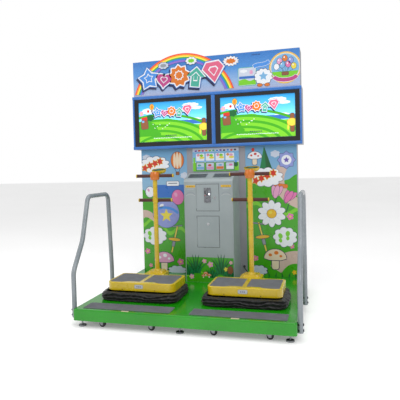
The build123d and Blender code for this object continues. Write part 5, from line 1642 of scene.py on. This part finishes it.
@dataclass(frozen=True)
class Stage:
    """The pale floor, the soft lights and the camera."""
    eye: tuple[float, float, float] = (1.050, -4.072, 1.197)
    yaw: float = 0.295
    pitch: float = -0.033
    roll: float = -0.026
    lens: float = 44.04
    shift: tuple[float, float] = (0.050, -0.0399)
    surround: float = 0.68
    floor_half: float = 40000.0
    aim: tuple[float, float, float] = (0.0, 0.0, 1.0)
    lamps: tuple = (("key", (2.5, -4.5, 4.2), 3.0, 120.0), ("fill", (-4.0, -3.0, 3.0), 3.0, 50.0),
                    ("top", (0.0, -0.6, 5.0), 3.5, 70.0))

    def floor(self) -> None:
        """A wide floor."""
        points = np.array([(-1, -1, 0), (1, -1, 0), (1, 1, 0), (-1, 1, 0)]) * self.floor_half
        # Matt paper: near white, with a little light of its own so that it stays pale far from the lamps.
        pale = Finish("pale_studio_floor", "#f4f4f4", "#f8f8f8", roughness=0.85, patch_mm=2000, grain_depth=0.0,
                      glow=0.22)
        ground = make_object("studio_floor", points, [(0, 1, 2, 3)], [pale.material()], smooth=False)

    def lights(self) -> None:
        """Three large soft lamps and an even surround, which is white where nothing stands before it."""
        world = bpy.context.scene.world or bpy.data.worlds.new("studio")
        bpy.context.scene.world = world
        world.use_nodes = True
        tree = world.node_tree
        back = tree.nodes["Background"]
        back.inputs["Color"].default_value = linear("#ffffff")
        back.inputs["Strength"].default_value = self.surround
        seen = add_node(tree, "ShaderNodeBackground", inputs={"Color": linear("#ffffff"), "Strength": 1.0})
        ray = add_node(tree, "ShaderNodeLightPath")
        mix = add_node(tree, "ShaderNodeMixShader", links={0: ray.outputs["Is Camera Ray"], 1: back.outputs[0],
                                                           2: seen.outputs[0]})
        tree.links.new(mix.outputs[0], tree.nodes["World Output"].inputs["Surface"])
        for name, place, size, power in self.lamps:
            lamp = bpy.data.lights.new(name, "AREA")
            lamp.energy = power
            lamp.size = size
            made = bpy.data.objects.new(name, lamp)
            bpy.context.scene.collection.objects.link(made)
            made.location = place
            made.rotation_euler = (Vector(self.aim) - Vector(place)).to_track_quat("-Z", "Y").to_euler()

    def camera(self) -> None:
        """The camera: forward from yaw and pitch, then a small roll about it."""
        forward = Vector((-math.sin(self.yaw) * math.cos(self.pitch), math.cos(self.yaw) * math.cos(self.pitch),
                          math.sin(self.pitch)))
        right = Vector((math.cos(self.yaw), math.sin(self.yaw), 0.0))
        up = right.cross(forward)
        across = right * math.cos(self.roll) + up * math.sin(self.roll)
        upward = up * math.cos(self.roll) - right * math.sin(self.roll)
        turned = Matrix((across, upward, -forward)).transposed().to_4x4()
        data = bpy.data.cameras.new("view")
        data.lens = self.lens
        data.sensor_width = 36.0
        data.shift_x, data.shift_y = self.shift
        data.clip_end = 200.0
        made = bpy.data.objects.new("view", data)
        bpy.context.scene.collection.objects.link(made)
        made.matrix_world = Matrix.Translation(Vector(self.eye)) @ turned
        bpy.context.scene.camera = made


def main() -> None:
    """Build the sub-assemblies in order."""
    logging.basicConfig(level=logging.INFO, format="%(name)s %(message)s")
    bpy.context.scene.view_settings.view_transform = "Standard"
    stage = Stage()
    stage.camera()
    base = Base()
    base.finish()
    base.labels()
    base.rail_plugs()
    base.lead()
    for word in SIDES:
        Bellows().build(word)
        Springs().build(word)
        unit = JumpUnit(word)
        unit.finish()
        unit.grips()
        unit.disc()
        unit.badge()
    tower = Tower()
    tower.finish()
    tower.back_details()
    tower.left_art()
    tower.right_art()
    tower.steps_board()
    screens = Screens()
    screens.finish()
    for word in SIDES:
        screens.picture(word)
    header = Header()
    header.finish()
    header.art()
    coin = CoinCabinet()
    coin.finish()
    coin.meadow()
    coin.paint_door_gap_shade()
    coin.coin_face()
    stage.floor()
    stage.lights()
    LOG.info("all pieces built")


if __name__ == "__main__":
    main()
